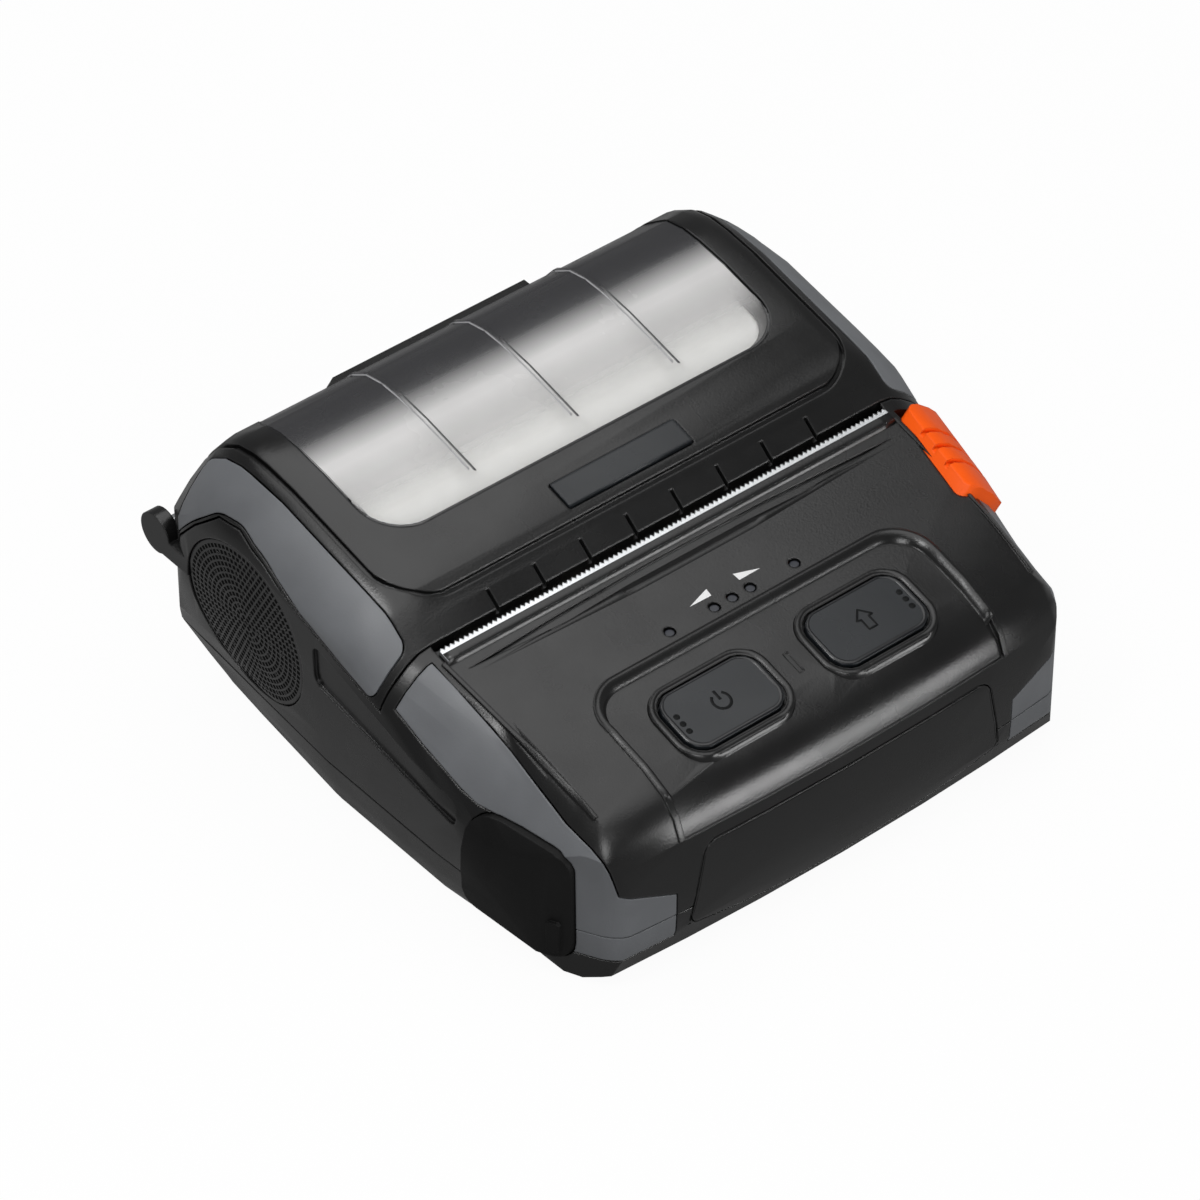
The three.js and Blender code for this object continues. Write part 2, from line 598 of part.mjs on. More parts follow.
function coverStripRegion(gap) {
  const front = SEAM_D + STRIP.seam
  const rear = HINGE.d - LID.clear - LID.edge
  const side = grow(roundCorners(insetLoop(lidOutline(front - LID.edge), LID.edge), STRIP.round), gap)
  const plan = roundCorners([[STRIP.coverInner, front], [HALF + OVER * 2, front], [HALF + OVER * 2, rear],
    [STRIP.coverInner, rear]], STRIP.round)
  return common(prism(side, STRIP.coverInner - gap, HALF + OVER, 'x'),
    prism(grow(plan, gap), 0, HEIGHT + OVER, 'z'))
}

function bothSides(solid) {
  return join(solid, mirrored(solid))
}

// Base shells
function screwPlaces() {
  const places = []
  for (const side of [-1, 1]) {
    places.push([side * SCREW_PLACES.frontX, SCREW_PLACES.frontD],
      [side * SCREW_PLACES.rearX, SCREW_PLACES.rearD])
  }
  return places
}

function footPlaces() {
  const places = []
  for (const side of [-1, 1]) places.push([side * FOOT.x, FOOT.front], [side * FOOT.x, FOOT.rear])
  return places
}

const FLOOR = PROFILE_SHARES[0][1] * HEIGHT
const FLOOR_TOP = FLOOR + WALL
const BAY_HALF = BATTERY.half + FIT
const BAY_FRONT = BATTERY.front - FIT
const BAY_REAR = BATTERY.rear + FIT
const BAY_TOP = BATTERY.high + FIT
const CRADLE_OUTER = CHASSIS.cradle + CHASSIS.skin

function bottomCase() {
  const wall = BATTERY_BAY.wall
  const shell = common(skin(0, WALL), block(-HALF, HALF, -OVER, DEPTH, 0, PART_Z))
  const bay = block(-BAY_HALF - wall, BAY_HALF + wall, BAY_FRONT - wall, BAY_REAR + wall, FLOOR,
    BAY_TOP + wall)
  const bayHole = block(-BAY_HALF, BAY_HALF, BAY_FRONT, BAY_REAR, -OVER, BAY_TOP)
  const posts = screwPlaces().map(([x, d]) => common(post(SCREW.post, x, d, FLOOR, PART_Z), form(0)))
  const boardPosts = boardPostPlaces().map(([x, d]) => post(KEYS.post, x, d, BAY_TOP, BOARD.z - FIT))
  const ribs = RIBS.ds.map((d) => block(-RIBS.half, RIBS.half, d - RIBS.thick / 2, d + RIBS.thick / 2,
    FLOOR, RIBS.high))
  const cradle = bar(CRADLE_OUTER + FIT, -HALF, HALF, CHASSIS.d, CHASSIS.z, ROLL.sides)
  const screwHoles = screwPlaces().map(([x, d]) => join(
    post(SCREW.shank + FIT, x, d, -OVER, PART_Z + OVER),
    post(SCREW.head + FIT, x, d, -OVER, SCREW.sink + SCREW.headHigh)))
  const feet = footPlaces().map(([x, d]) => post(FOOT.r + FIT, x, d, -OVER, FLOOR + FOOT.seat))
  const catchHole = block(-CATCH.half - FIT, CATCH.half + FIT, CATCH.front - FIT,
    CATCH.rear + CATCH.travel + FIT, -OVER, FLOOR_TOP + OVER)
  const corner = common(skin(-CUT, STRIP.thick + FIT), lowerCornerRegion(FIT))
  const pad = common(portLayer(WALL / 2, PORT.thick + FIT + WALL / 2, WALL / 2),
    block(-HALF, 0, 0, DEPTH, 0, PART_Z))
  const body = join(shell, bay, pad, ...posts, ...boardPosts, ...ribs.map((rib) => cut(rib, cradle)))
  return largest(cut(body, bayHole, ...screwHoles, ...feet, catchHole, bothSides(corner),
    portLayer(-CUT, PORT.thick + FIT, FIT),
    frontLayer(-CUT, FRONT.thick + FIT, FIT)))
}

function boardPostPlaces() {
  const places = []
  for (const side of [-1, 1]) {
    const ends = [BOARD.front + BOARD.postEdge, BOARD.rear - BOARD.postEdge]
    for (const d of ends) places.push([side * BOARD.postX, d])
  }
  return places
}

// Screw post of the upper shell, tied to the side wall by a web
function wallPost(side, x, d) {
  const web = block(Math.min(side * x, side * HALF), Math.max(side * x, side * HALF),
    d - SCREW.web / 2, d + SCREW.web / 2, PART_Z + FIT, SCREW.postTop)
  return common(join(post(SCREW.post, side * x, d, PART_Z + FIT, SCREW.postTop), web), form(WALL / 2))
}

function keyPostPlaces() {
  const places = []
  for (const side of [-1, 1]) {
    const ends = [KEYS.front + KEYS.postEdge, KEYS.rear - KEYS.postEdge]
    for (const d of ends) places.push([side * KEYS.postX, d])
  }
  return places
}

// Turns a solid made about the tray floor into its place on the sloping deck
function onDeck(solid, x, d) {
  const tilt = THREE.MathUtils.radToDeg(Math.atan(DECK_TILT_SHARE))
  return solid.rotate([tilt, 0, 0]).translate([x, d, topAt(d) - TRAY.deep])
}

function buttonOutline(gap) {
  return grow(roundedRect(-BUTTON.length / 2, BUTTON.length / 2, -BUTTON.width / 2, BUTTON.width / 2,
    BUTTON.radius), gap)
}

function bezel(x) {
  const ring = cut(
    prism(buttonOutline(BEZEL.gap + BEZEL.width), -BUTTON.deck / 2, BEZEL.rise, 'z'),
    prism(buttonOutline(BEZEL.gap), -BUTTON.deck, BEZEL.rise + OVER, 'z'))
  return onDeck(ring, x, BUTTON.d)
}

function trayOutline() {
  return roundedRect(-TRAY.half, TRAY.half, TRAY.front, TRAY.rear, TRAY.radius)
}

function swageOutline() {
  const rear = new THREE.QuadraticBezierCurve(
    new THREE.Vector2(SWAGE.half, SWAGE.d),
    new THREE.Vector2(0, SWAGE.d + SWAGE.width),
    new THREE.Vector2(-SWAGE.half, SWAGE.d))
  const front = new THREE.QuadraticBezierCurve(
    new THREE.Vector2(-SWAGE.half, SWAGE.d),
    new THREE.Vector2(0, SWAGE.d - SWAGE.width),
    new THREE.Vector2(SWAGE.half, SWAGE.d))
  return loopOf([...rear.getPoints(CORNER_STEPS * 2), ...front.getPoints(CORNER_STEPS * 2)])
}

function ledPlaces() {
  return [-LED.spread, -LED.pitch, 0, LED.pitch, LED.spread]
}

// Raised bead along the right edge of the deck
function deckBead() {
  const outer = BEAD_SHARES.map(([x, d]) => [x * HALF, d * DEPTH])
  const inner = [...outer].reverse().map(([x, d]) => [x - BEAD.wide, d])
  return common(skin(-BEAD.rise, WALL / 2), prism([...outer, ...inner], TRAY.rimLow, HEIGHT + OVER, 'z'))
}

// End cap of the hinge rod on an arm of the side wall
function hingeEar() {
  const cap = bar(HINGE.cap, HINGE.capX, HINGE.capX + HINGE.capThick, HINGE.d, HINGE.z)
  const arm = block(HINGE.capX, HINGE.capX + HINGE.capThick, HINGE.armFront, HINGE.d,
    HINGE.armLow, HINGE.armHigh)
  return join(cap, arm)
}

function baseKnuckle() {
  const inner = HINGE.coverHalf + FIT * 2
  const barrel = bar(HINGE.knuckle, inner, REAR_WALL.half - FIT, HINGE.d, HINGE.z)
  const web = block(inner, REAR_WALL.half - FIT, HINGE.webFront, HINGE.webRear, REAR_WALL.low, HINGE.z)
  return join(barrel, web)
}

function grilleSeat() {
  const round = (r) => bar(r, HALF / 2, HALF + OVER, GRILLE.d, GRILLE.z, ROUND_SIDES * 2)
  return {
    pad: common(skin(WALL / 2, WALL + GRILLE.pad), round(GRILLE.r + GRILLE.margin)),
    pocket: common(skin(-CUT, GRILLE.thick + FIT), round(GRILLE.r + FIT)),
    hole: round(GRILLE.r - GRILLE.margin),
  }
}

function mainCase() {
  const above = block(-HALF, HALF, -OVER, DEPTH, PART_Z + FIT, HEIGHT + OVER)
  const shell = cut(common(skin(0, WALL), above), coverRegion(LID.gap),
    hingeClear(LID.clear, -HALF - OVER, HALF + OVER))
  const seat = grilleSeat()
  const wallPosts = []
  for (const side of [-1, 1]) {
    wallPosts.push(wallPost(side, SCREW_PLACES.frontX, SCREW_PLACES.frontD))
    wallPosts.push(wallPost(side, SCREW_PLACES.rearX, SCREW_PLACES.rearD))
  }
  const keyPosts = keyPostPlaces().map(([x, d]) => common(
    post(KEYS.post, x, d, KEYS.z + BOARD.thick + FIT, HEIGHT), form(WALL / 2)))
  const portPad = common(portLayer(WALL / 2, PORT.thick + FIT + WALL / 2, WALL / 2), above)
  const bayFrame = common(cut(
    block(-HALF, -BAY.inner, BAY.front - BAY.wall, BAY.rear + BAY.wall, BAY.low - BAY.wall,
      BAY.high + BAY.wall),
    block(-HALF - OVER, OVER - BAY.inner, BAY.front, BAY.rear, BAY.low, BAY.high)), form(WALL))
  const rim = common(cut(
    prism(grow(trayOutline(), TRAY.rim), TRAY.rimLow, HEIGHT, 'z'),
    prism(trayOutline(), 0, HEIGHT, 'z')), skin(-TRAY.rimRise, WALL / 2))
  const body = join(shell, bothSides(seat.pad), bothSides(hingeEar()), bothSides(baseKnuckle()),
    ...wallPosts, ...keyPosts, portPad, bayFrame, rim, bothSides(deckBead()))
  const tearSlot = block(-TEAR.half - FIT, TEAR.half + FIT, TEAR.tip - TEAR.width - FIT, SEAM_D, PLATEN.z,
    HEIGHT)
  const holes = [
    bothSides(seat.pocket),
    bothSides(seat.hole),
    common(lowered(TRAY.deep), prism(trayOutline(), TRAY.rimLow, HEIGHT + OVER, 'z')),
    common(lowered(SWAGE.deep), prism(swageOutline(), TRAY.rimLow, HEIGHT + OVER, 'z')),
    bothSides(common(skin(-CUT, STRIP.thick + FIT), baseStripRegion(FIT))),
    frontLayer(-CUT, FRONT.thick + FIT, FIT),
    portLayer(-CUT, PORT.thick + FIT, FIT),
    block(-HALF - OVER, -BAY.inner - FIT, BAY.front, BAY.rear, BAY.low, BAY.high),
    releaseRegion(FIT),
    block(-SLOT.half, SLOT.half, SLOT.front, SEAM_D + OVER, PLATEN.z, HEIGHT),
    common(skin(-CUT, TEAR.seat), tearSlot),
    bothSides(common(skin(-CUT, SCOOP.deep), prism(scoopOutline(), HALF / 2, HALF + OVER, 'x'))),
    hingeClear(HINGE.rod + FIT, -HINGE.capX - HINGE.capThick / 2, HINGE.capX + HINGE.capThick / 2),
    ...screwPlaces().map(([x, d]) => post(SCREW.shank + FIT, x, d, 0,
      SCREW.sink + SCREW.length + SCREW.headHigh + FIT)),
    ...ledPlaces().map((x) => post(LED.hole, x, LED.d, TRAY.level, HEIGHT + OVER)),
    ...[-1, 1].map((side) => onDeck(join(
      prism(buttonOutline(FIT), -OVER * 2, OVER, 'z'),
      prism(buttonOutline(BUTTON.flange + FIT), -OVER, -BUTTON.deck, 'z')), side * BUTTON.x, BUTTON.d)),
  ]
  const bezels = [-1, 1].map((side) => bezel(side * BUTTON.x))
  return largest(join(cut(body, ...holes), ...bezels))
}

function scoopOutline() {
  return roundCorners([
    [SCOOP.front, SCOOP.frontLow], [SCOOP.rear, SCOOP.rearLow], [SCOOP.rear, SCOOP.rearTop],
      [SCOOP.front, SCOOP.frontTop],
  ], SCOOP.radius)
}

function gearTip(teeth) {
  return GEAR.module * (teeth / 2 + GEAR.addendumShare)
}

// Cover
function coverShell() {
  const region = coverRegion(0)
  const top = common(skin(0, COVER_WALL), region)
  const lip = common(form(0), region, block(-HALF, HALF, SEAM_D, SLOT.rear + LIP.thick, LIP.low, HEIGHT))
  const lug = common(form(COVER_WALL / 2), join(
    block(LUG.inner, LUG.inner + LUG.wide, PLATEN.d - LUG.r, PLATEN.d + LUG.r, PLATEN.z, HEIGHT),
    bar(LUG.r, LUG.inner, LUG.inner + LUG.wide, PLATEN.d, PLATEN.z)))
  const knuckles = join(
    bar(HINGE.knuckle, -HINGE.coverHalf, HINGE.coverHalf, HINGE.d, HINGE.z),
    bothSides(bar(HINGE.knuckle, REAR_WALL.half + FIT, HINGE.cornerHalf, HINGE.d, HINGE.z)))
  const ridge = common(skin(-RIDGE.proud, WALL / 2),
    block(-RIDGE.half, RIDGE.half, WINDOW.rear - OVER, DEPTH + OVER, RIDGE.low, RIDGE.high))
  const body = join(top, lip, bothSides(lug), knuckles, ridge)
  const above = [LID.low, HEIGHT + OVER, 'z']
  const first = -LIP.pitch * (LIP.notches - 1) / 2
  const notches = []
  for (let i = 0; i < LIP.notches; i += 1) {
    const x = first + i * LIP.pitch
    notches.push(block(x - LIP.width / 2, x + LIP.width / 2, SEAM_D, SLOT.rear + LIP.reach,
      LIP.low - LIP.thick, HEIGHT))
  }
  const holes = [
    common(skin(-OVER, WINDOW.inset + WINDOW.thick + FIT), prism(windowOutline(), ...above)),
    prism(insetLoop(windowOutline(), WINDOW.ledge), HINGE.wallTop, HEIGHT + OVER, 'z'),
    common(skin(-CUT, PANEL.deep), cut(prism(panelOutline(), ...above),
      prism(insetLoop(panelOutline(), PANEL.groove), ...above))),
    common(skin(-CUT, PLATE.deep + FIT), prism(grow(plateOutline(), FIT), ...above)),
    bothSides(common(skin(-CUT, STRIP.thick + FIT), coverStripRegion(FIT))),
    common(skin(-CUT, LIP.deep), join(...notches)),
    bar(PLATEN.shaft + FIT, -PLATEN.shaftHalf - FIT, PLATEN.shaftHalf + FIT, PLATEN.d, PLATEN.z),
    bar(gearTip(GEAR.platen) + FIT * 2, -GEAR.x - GEAR.wide - FIT, FIT - GEAR.x, PLATEN.d, PLATEN.z),
    bothSides(block(LATCH.x - FIT, LATCH.x + LATCH.wide + FIT, SEAM_D, PLATEN.d, LATCH.low, LATCH.relief)),
    hingeClear(HINGE.rod + FIT, -HALF, HALF),
    bothSides(hingeClear(LID.clear + FIT, HINGE.coverHalf + FIT, REAR_WALL.half)),
    bothSides(hingeClear(LID.clear + FIT, HINGE.capX - FIT, HALF + OVER)),
  ]
  return largest(cut(body, ...holes))
}

function windowPane() {
  const pane = common(skin(WINDOW.inset, WINDOW.inset + WINDOW.thick),
    prism(insetLoop(windowOutline(), FIT), LID.low, HEIGHT + OVER, 'z'))
  const ribs = []
  for (let i = 0; i < RIB.count; i += 1) {
    const x = (i - (RIB.count - 1) / 2) * RIB.pitch
    ribs.push(common(skin(WINDOW.inset - RIB.rise, WINDOW.thick),
      block(x - RIB.half, x + RIB.half, RIB.front, WINDOW.rear - FIT * 2, LID.low, HEIGHT + OVER)))
  }
  return largest(join(pane, ...ribs))
}

function coverStrip() {
  return largest(common(skin(0, STRIP.thick), coverStripRegion(0)))
}

function cornerStrip() {
  return largest(common(skin(0, STRIP.thick), baseStripRegion(0)))
}

function lowerCorner() {
  return largest(common(skin(0, STRIP.thick), lowerCornerRegion(0), block(0, HALF, -OVER, DEPTH, 0, PART_Z)))
}

function badgePlate() {
  return largest(common(skin(-PLATE.proud, PLATE.deep), prism(plateOutline(), LID.low, HEIGHT + OVER, 'z')))
}

function frontPanel() {
  return largest(frontLayer(0, FRONT.thick, 0))
}

// Side grille, with rings of holes
function grille() {
  const from = HALF / 2
  const to = HALF + OVER
  const disc = common(skin(GRILLE.sunk, GRILLE.thick),
    bar(GRILLE.r, from, to, GRILLE.d, GRILLE.z, ROUND_SIDES * 2))
  const holes = [bar(GRILLE.holeR, from, to, GRILLE.d, GRILLE.z, HOLE_SIDES)]
  for (let ring = 1; ring <= GRILLE.rings; ring += 1) {
    const count = GRILLE_FIRST * ring
    for (let i = 0; i < count; i += 1) {
      const angle = 2 * Math.PI * i / count
      const radius = ring * GRILLE.pitch
      holes.push(bar(GRILLE.holeR, from, to,
        GRILLE.d + radius * Math.cos(angle), GRILLE.z + radius * Math.sin(angle), HOLE_SIDES))
    }
  }
  return cut(disc, join(...holes))
}

// Serrated blade on the rear edge of the deck
function tearBar() {
  const points = [[TEAR.half, TEAR.tip - TEAR.toothDeep], [-TEAR.half, TEAR.tip - TEAR.toothDeep]]
  const outline = [[-TEAR.half, TEAR.tip - TEAR.width], [TEAR.half, TEAR.tip - TEAR.width], points[0]]
  const teeth = Math.round(TEAR.half * 2 / TEAR.tooth)
  const pitch = TEAR.half * 2 / teeth
  for (let i = 0; i < teeth; i += 1) {
    const x = TEAR.half - i * pitch
    outline.push([x - pitch / 2, TEAR.tip], [x - pitch, TEAR.tip - TEAR.toothDeep])
  }
  const slope = (topAt(TEAR.tip) - topAt(TEAR.tip - TEAR.width)) / TEAR.width
  const blade = prism(outline.map(([x, d]) => [x, d - TEAR.tip]), 0, TEAR.thick, 'z')
  return blade.rotate([THREE.MathUtils.radToDeg(Math.atan(slope)), 0, 0])
    .translate([0, TEAR.tip, topAt(TEAR.tip) - TEAR.seat + FIT])
}

// Release button with finger grooves
function releaseButton() {
  const inside = block(0, HALF, 0, DEPTH, 0, HEIGHT + OVER)
  const cap = common(skin(-RELEASE.proud, RELEASE.thick), releaseRegion(0), inside)
  const grooves = []
  for (let i = 0; i < GRIP.count; i += 1) {
    const d = RELEASE.d + (i - (GRIP.count - 1) / 2) * GRIP.pitch
    grooves.push(common(skin(-OVER, GRIP.deep - RELEASE.proud),
      block(0, HALF + OVER, d - GRIP.width / 2, d + GRIP.width / 2, 0, HEIGHT + OVER)))
  }
  return largest(cut(cap, ...grooves))
}

function deckButton(side) {
  const flangeTop = -BUTTON.deck - FIT
  const cap = prism(buttonOutline(0), flangeTop - BUTTON.flangeThick, BUTTON.proud, 'z')
  const flange = prism(buttonOutline(BUTTON.flange), flangeTop - BUTTON.flangeThick, flangeTop, 'z')
  const stem = post(BUTTON.stem / 2, 0, 0, flangeTop - BUTTON.flangeThick - BUTTON.stemLength, flangeTop)
  return onDeck(join(cap, flange, stem), side * BUTTON.x, BUTTON.d)
}

function ledLens(x) {
  const top = topAt(LED.d) - LED.sunk
  return post(LED.r, x, LED.d, top - LED.length, top, ROUND_SIDES / 2)
}

// Rubber cover over the sockets, with a pull lip at its front edge
function portCover() {
  const flap = portLayer(-PORT.proud, PORT.thick, 0)
  const lip = common(skin(-PORT.proud - PORT.lipRise, 0), prism(roundedRect(
    PORT.front + PORT.lipInset, PORT.front + PORT.lipInset + PORT.lipWide,
    PORT.low + PORT.lipInset, PORT.low + PORT.lipInset + PORT.lipHigh, PORT.lipWide / 2 - FIT),
      -HALF - OVER, -PORT.inner, 'x'))
  return largest(join(flap, lip))
}

// Printing mechanism
function gearSolid(teeth, x0, x1, d, z, phase, bore) {
  const root = GEAR.module * (teeth / 2 - DEDENDUM_SHARE)
  const tip = gearTip(teeth)
  const step = 2 * Math.PI / teeth
  const points = []
  for (let i = 0; i < teeth; i += 1) {
    const centre = phase + i * step
    for (const [radius, share] of [[root, -TOOTH_ROOT_SHARE], [tip, -TOOTH_TIP_SHARE],
      [tip, TOOTH_TIP_SHARE], [root, TOOTH_ROOT_SHARE]]) {
      const angle = centre + share * step / 2
      points.push([d + radius * Math.cos(angle), z + radius * Math.sin(angle)])
    }
  }
  const wheel = prism(points, x0, x1, 'x')
  return bore ? cut(wheel, bar(bore, x0 - OVER, x1 + OVER, d, z, ROUND_SIDES / 2)) : wheel
}

const idlerReach = GEAR.module * (GEAR.platen + GEAR.idler) / 2 + GEAR.mesh
const pinionReach = GEAR.module * (GEAR.idler + GEAR.pinion) / 2 + GEAR.mesh
const IDLER = { d: PLATEN.d, z: PLATEN.z - idlerReach, phase: Math.PI / 2 + Math.PI / GEAR.idler }
const pinionAngle = Math.PI + PINION_SLOPE
const PINION = { d: IDLER.d + pinionReach * Math.cos(pinionAngle),
  z: IDLER.z + pinionReach * Math.sin(pinionAngle) }

// The pinion's first tooth is half a pitch from the idler tooth nearest to their line of centres
function pinionPhase() {
  const step = 2 * Math.PI / GEAR.idler
  const past = THREE.MathUtils.euclideanModulo(pinionAngle - IDLER.phase, step)
  return pinionAngle + Math.PI + past * GEAR.idler / GEAR.pinion + Math.PI / GEAR.pinion
}

function platenGear() {
  return gearSolid(GEAR.platen, -GEAR.x - GEAR.wide, -GEAR.x, PLATEN.d, PLATEN.z, -Math.PI / 2,
    PLATEN.shaft + FIT)
}

function idlerGear() {
  return gearSolid(GEAR.idler, -GEAR.x - GEAR.wide, -GEAR.x, IDLER.d, IDLER.z, IDLER.phase, GEAR.pin + FIT)
}

function motorPinion() {
  const wheel = gearSolid(GEAR.pinion, -GEAR.x - GEAR.wide, -GEAR.x, PINION.d, PINION.z, pinionPhase(), 0)
  return join(wheel, bar(MOTOR.shaft, -GEAR.x - GEAR.wide, -MOTOR.faceX - FIT, PINION.d, PINION.z,
    ROUND_SIDES / 2))
}

function stepMotor() {
  const can = bar(MOTOR.r, -MOTOR.faceX, MOTOR.length - MOTOR.faceX, PINION.d, PINION.z)
  const boss = bar(MOTOR.bossR, MOTOR.length - MOTOR.faceX, MOTOR.length - MOTOR.faceX + MOTOR.boss,
    PINION.d, PINION.z)
  return join(can, boss)
}

function platenRoller() {
  return cut(bar(PLATEN.r, -PLATEN.half, PLATEN.half, PLATEN.d, PLATEN.z),
    bar(PLATEN.shaft + FIT, -HALF, HALF, PLATEN.d, PLATEN.z))
}

function platenShaft() {
  return bar(PLATEN.shaft, -PLATEN.shaftHalf, PLATEN.shaftHalf, PLATEN.d, PLATEN.z)
}

function platenBush() {
  return cut(bar(PLATEN.bush, PLATEN.bushX, PLATEN.bushX + PLATEN.bushWide, PLATEN.d, PLATEN.z),
    bar(PLATEN.shaft + FIT, 0, HALF, PLATEN.d, PLATEN.z))
}

const HEAD_REAR = PLATEN.d - PLATEN.r - FIT
const SINK_REAR = HEAD_REAR - HEAD.plate - FIT
const SINK_FRONT = SINK_REAR - HEAD.sink

function printHead() {
  return block(-HEAD.half, HEAD.half, HEAD_REAR - HEAD.plate, HEAD_REAR, HEAD.low, HEAD.high)
}

function heatSink() {
  const body = block(-HEAD.half, HEAD.half, SINK_FRONT, SINK_REAR, HEAD.low, HEAD.high)
  const fins = []
  const pitch = HEAD.half * 2 / HEAD.fins
  for (let i = 1; i < HEAD.fins; i += 1) {
    const x = i * pitch - HEAD.half
    fins.push(block(x - HEAD.finGap / 2, x + HEAD.finGap / 2, SINK_FRONT - FIT, SINK_FRONT + HEAD.sink / 2,
      HEAD.finLow, HEAD.high + OVER))
  }
  return cut(body, ...fins)
}

// Bowed leaf that presses the head on the platen, between the frame and the heat sink
function headSpring(x) {
  const front = CHASSIS.front + CHASSIS.frontThick + SPRING.gap + SPRING.thick
  const rear = SINK_FRONT - SPRING.gap
  const bow = new THREE.QuadraticBezierCurve(
    new THREE.Vector2(front, HEAD.springZ - SPRING.half),
    new THREE.Vector2(rear * 2 - front, HEAD.springZ),
    new THREE.Vector2(front, HEAD.springZ + SPRING.half))
  const outer = bow.getPoints(CORNER_STEPS * 2).map((point) => [point.x, point.y])
  const inner = [...outer].reverse().map(([d, z]) => [d - SPRING.thick, z])
  return prism([...outer, ...inner], x - SPRING.wide / 2, x + SPRING.wide / 2, 'x')
}

function cradleOutline() {
  const arc = new THREE.Path()
  arc.absarc(CHASSIS.d, CHASSIS.z, CRADLE_OUTER, CRADLE_START_SHARE * 2 * Math.PI,
    CRADLE_END_SHARE * 2 * Math.PI, false)
  const inner = new THREE.Path()
  inner.absarc(CHASSIS.d, CHASSIS.z, CHASSIS.cradle, CRADLE_END_SHARE * 2 * Math.PI,
    CRADLE_START_SHARE * 2 * Math.PI, true)
  return loopOf([...arc.getPoints(ROUND_SIDES / 2), ...inner.getPoints(ROUND_SIDES / 2)])
}

function chassis() {
  const outer = CHASSIS.inner + CHASSIS.wall
  const plateOutline = [
    [CHASSIS.front, HEAD.low], [IDLER.d - MOTOR.r, PINION.z - MOTOR.r],
      [CHASSIS.d - CHASSIS.cradle / 2, CHASSIS.foot],
    [CHASSIS.d + CHASSIS.cradle / 2, CHASSIS.foot], [CHASSIS.rear, CHASSIS.z - CHASSIS.cradle / 2],
    [CHASSIS.rear, CHASSIS.wallTop - CHASSIS.skin], [CHASSIS.d - CHASSIS.cradle, CHASSIS.wallTop],
    [CHASSIS.d - CHASSIS.cradle, PLATEN.z + PLATEN.bush], [CHASSIS.plateFront, PLATEN.z + PLATEN.bush],
    [CHASSIS.front, CHASSIS.wallHigh - CHASSIS.skin],
  ]
  const plates = bothSides(prism(plateOutline, CHASSIS.inner, outer, 'x'))
  const cradle = prism(cradleOutline(), -outer, outer, 'x')
  const wall = block(-outer, outer, CHASSIS.front, CHASSIS.front + CHASSIS.frontThick, CHASSIS.wallLow,
    CHASSIS.wallHigh)
  const pin = bar(GEAR.pin, -GEAR.x - GEAR.wide - GEAR.pinEnd, -CHASSIS.inner, IDLER.d, IDLER.z)
  const body = join(plates, cradle, wall, pin)
  const bush = PLATEN.bush + FIT
  return largest(cut(body,
    bar(bush, -HALF, HALF, PLATEN.d, PLATEN.z),
    block(-HALF, HALF, PLATEN.d - bush, PLATEN.d + bush, PLATEN.z, HEIGHT),
    bar(MOTOR.shaft + FIT, -HALF, 0, PINION.d, PINION.z, ROUND_SIDES / 2)))
}

// Cross bar with a nose in front of each end of the platen shaft
function latchBar() {
  const rear = CHASSIS.front - FIT
  const nose = PLATEN.d - PLATEN.shaft - FIT
  const arm = prism([
    [rear - LATCH.bar, LATCH.low], [nose - LATCH.nose, LATCH.low], [nose, LATCH.low + LATCH.nose],
      [nose, LATCH.noseTop],
    [nose - LATCH.nose / 2, LATCH.noseTop], [nose - LATCH.nose, LATCH.high + LATCH.nose],
      [nose - LATCH.nose * 2, LATCH.high],
    [rear - LATCH.bar, LATCH.high],
  ], LATCH.x, LATCH.x + LATCH.wide, 'x')
  const bridge = block(-LATCH.x - LATCH.wide, LATCH.x + LATCH.wide, rear - LATCH.bar, rear, LATCH.low,
    LATCH.high)
  return join(bridge, bothSides(arm))
}

// Paper
function paperRing(outer, inner) {
  return cut(bar(outer, -ROLL.half, ROLL.half, CHASSIS.d, ROLL_Z, ROLL.sides),
    bar(inner, -HALF, HALF, CHASSIS.d, ROLL_Z))
}

// Electronics and power
function batteryPack() {
  const outline = roundedRect(-BATTERY.half, BATTERY.half, BATTERY.front, BATTERY.rear, BATTERY.radius)
  const pack = prism(outline, BATTERY.base, BATTERY.high, 'z')
  const grip = block(-BATTERY.gripHalf, BATTERY.gripHalf, BATTERY.rear - BATTERY.gripWide,
    BATTERY.rear + OVER, 0, BATTERY.base + BATTERY.grip)
  return cut(pack, grip)
}

function batteryCatch() {
  const slide = block(-CATCH.half, CATCH.half, CATCH.front, CATCH.rear, BATTERY.base,
    FLOOR_TOP + FIT + CATCH.flangeThick)
  const flange = block(-CATCH.half - CATCH.flange, CATCH.half + CATCH.flange, CATCH.front, CATCH.rear,
    FLOOR_TOP + FIT, FLOOR_TOP + FIT + CATCH.flangeThick)
  const ribs = []
  for (let d = CATCH.front + CATCH.ribPitch; d < CATCH.rear - CATCH.rib; d += CATCH.ribPitch) {
    ribs.push(block(-CATCH.half - FIT, CATCH.half + FIT, d, d + CATCH.rib, 0, BATTERY.base + CATCH.rib))
  }
  return cut(join(slide, flange), ...ribs)
}

function mainBoard() {
  const plate = block(-BOARD.left, BOARD.half, BOARD.front, BOARD.rear, BOARD.z, BOARD.z + BOARD.thick)
  const chips = CHIP_SHARES.map(([x, d, size]) => block(x * BOARD.half - size * CHIP,
    x * BOARD.half + size * CHIP,
    d * BOARD.rear - size * CHIP, d * BOARD.rear + size * CHIP, BOARD.z, BOARD.z + BOARD.thick + CHIP_HIGH))
  return join(plate, ...chips)
}

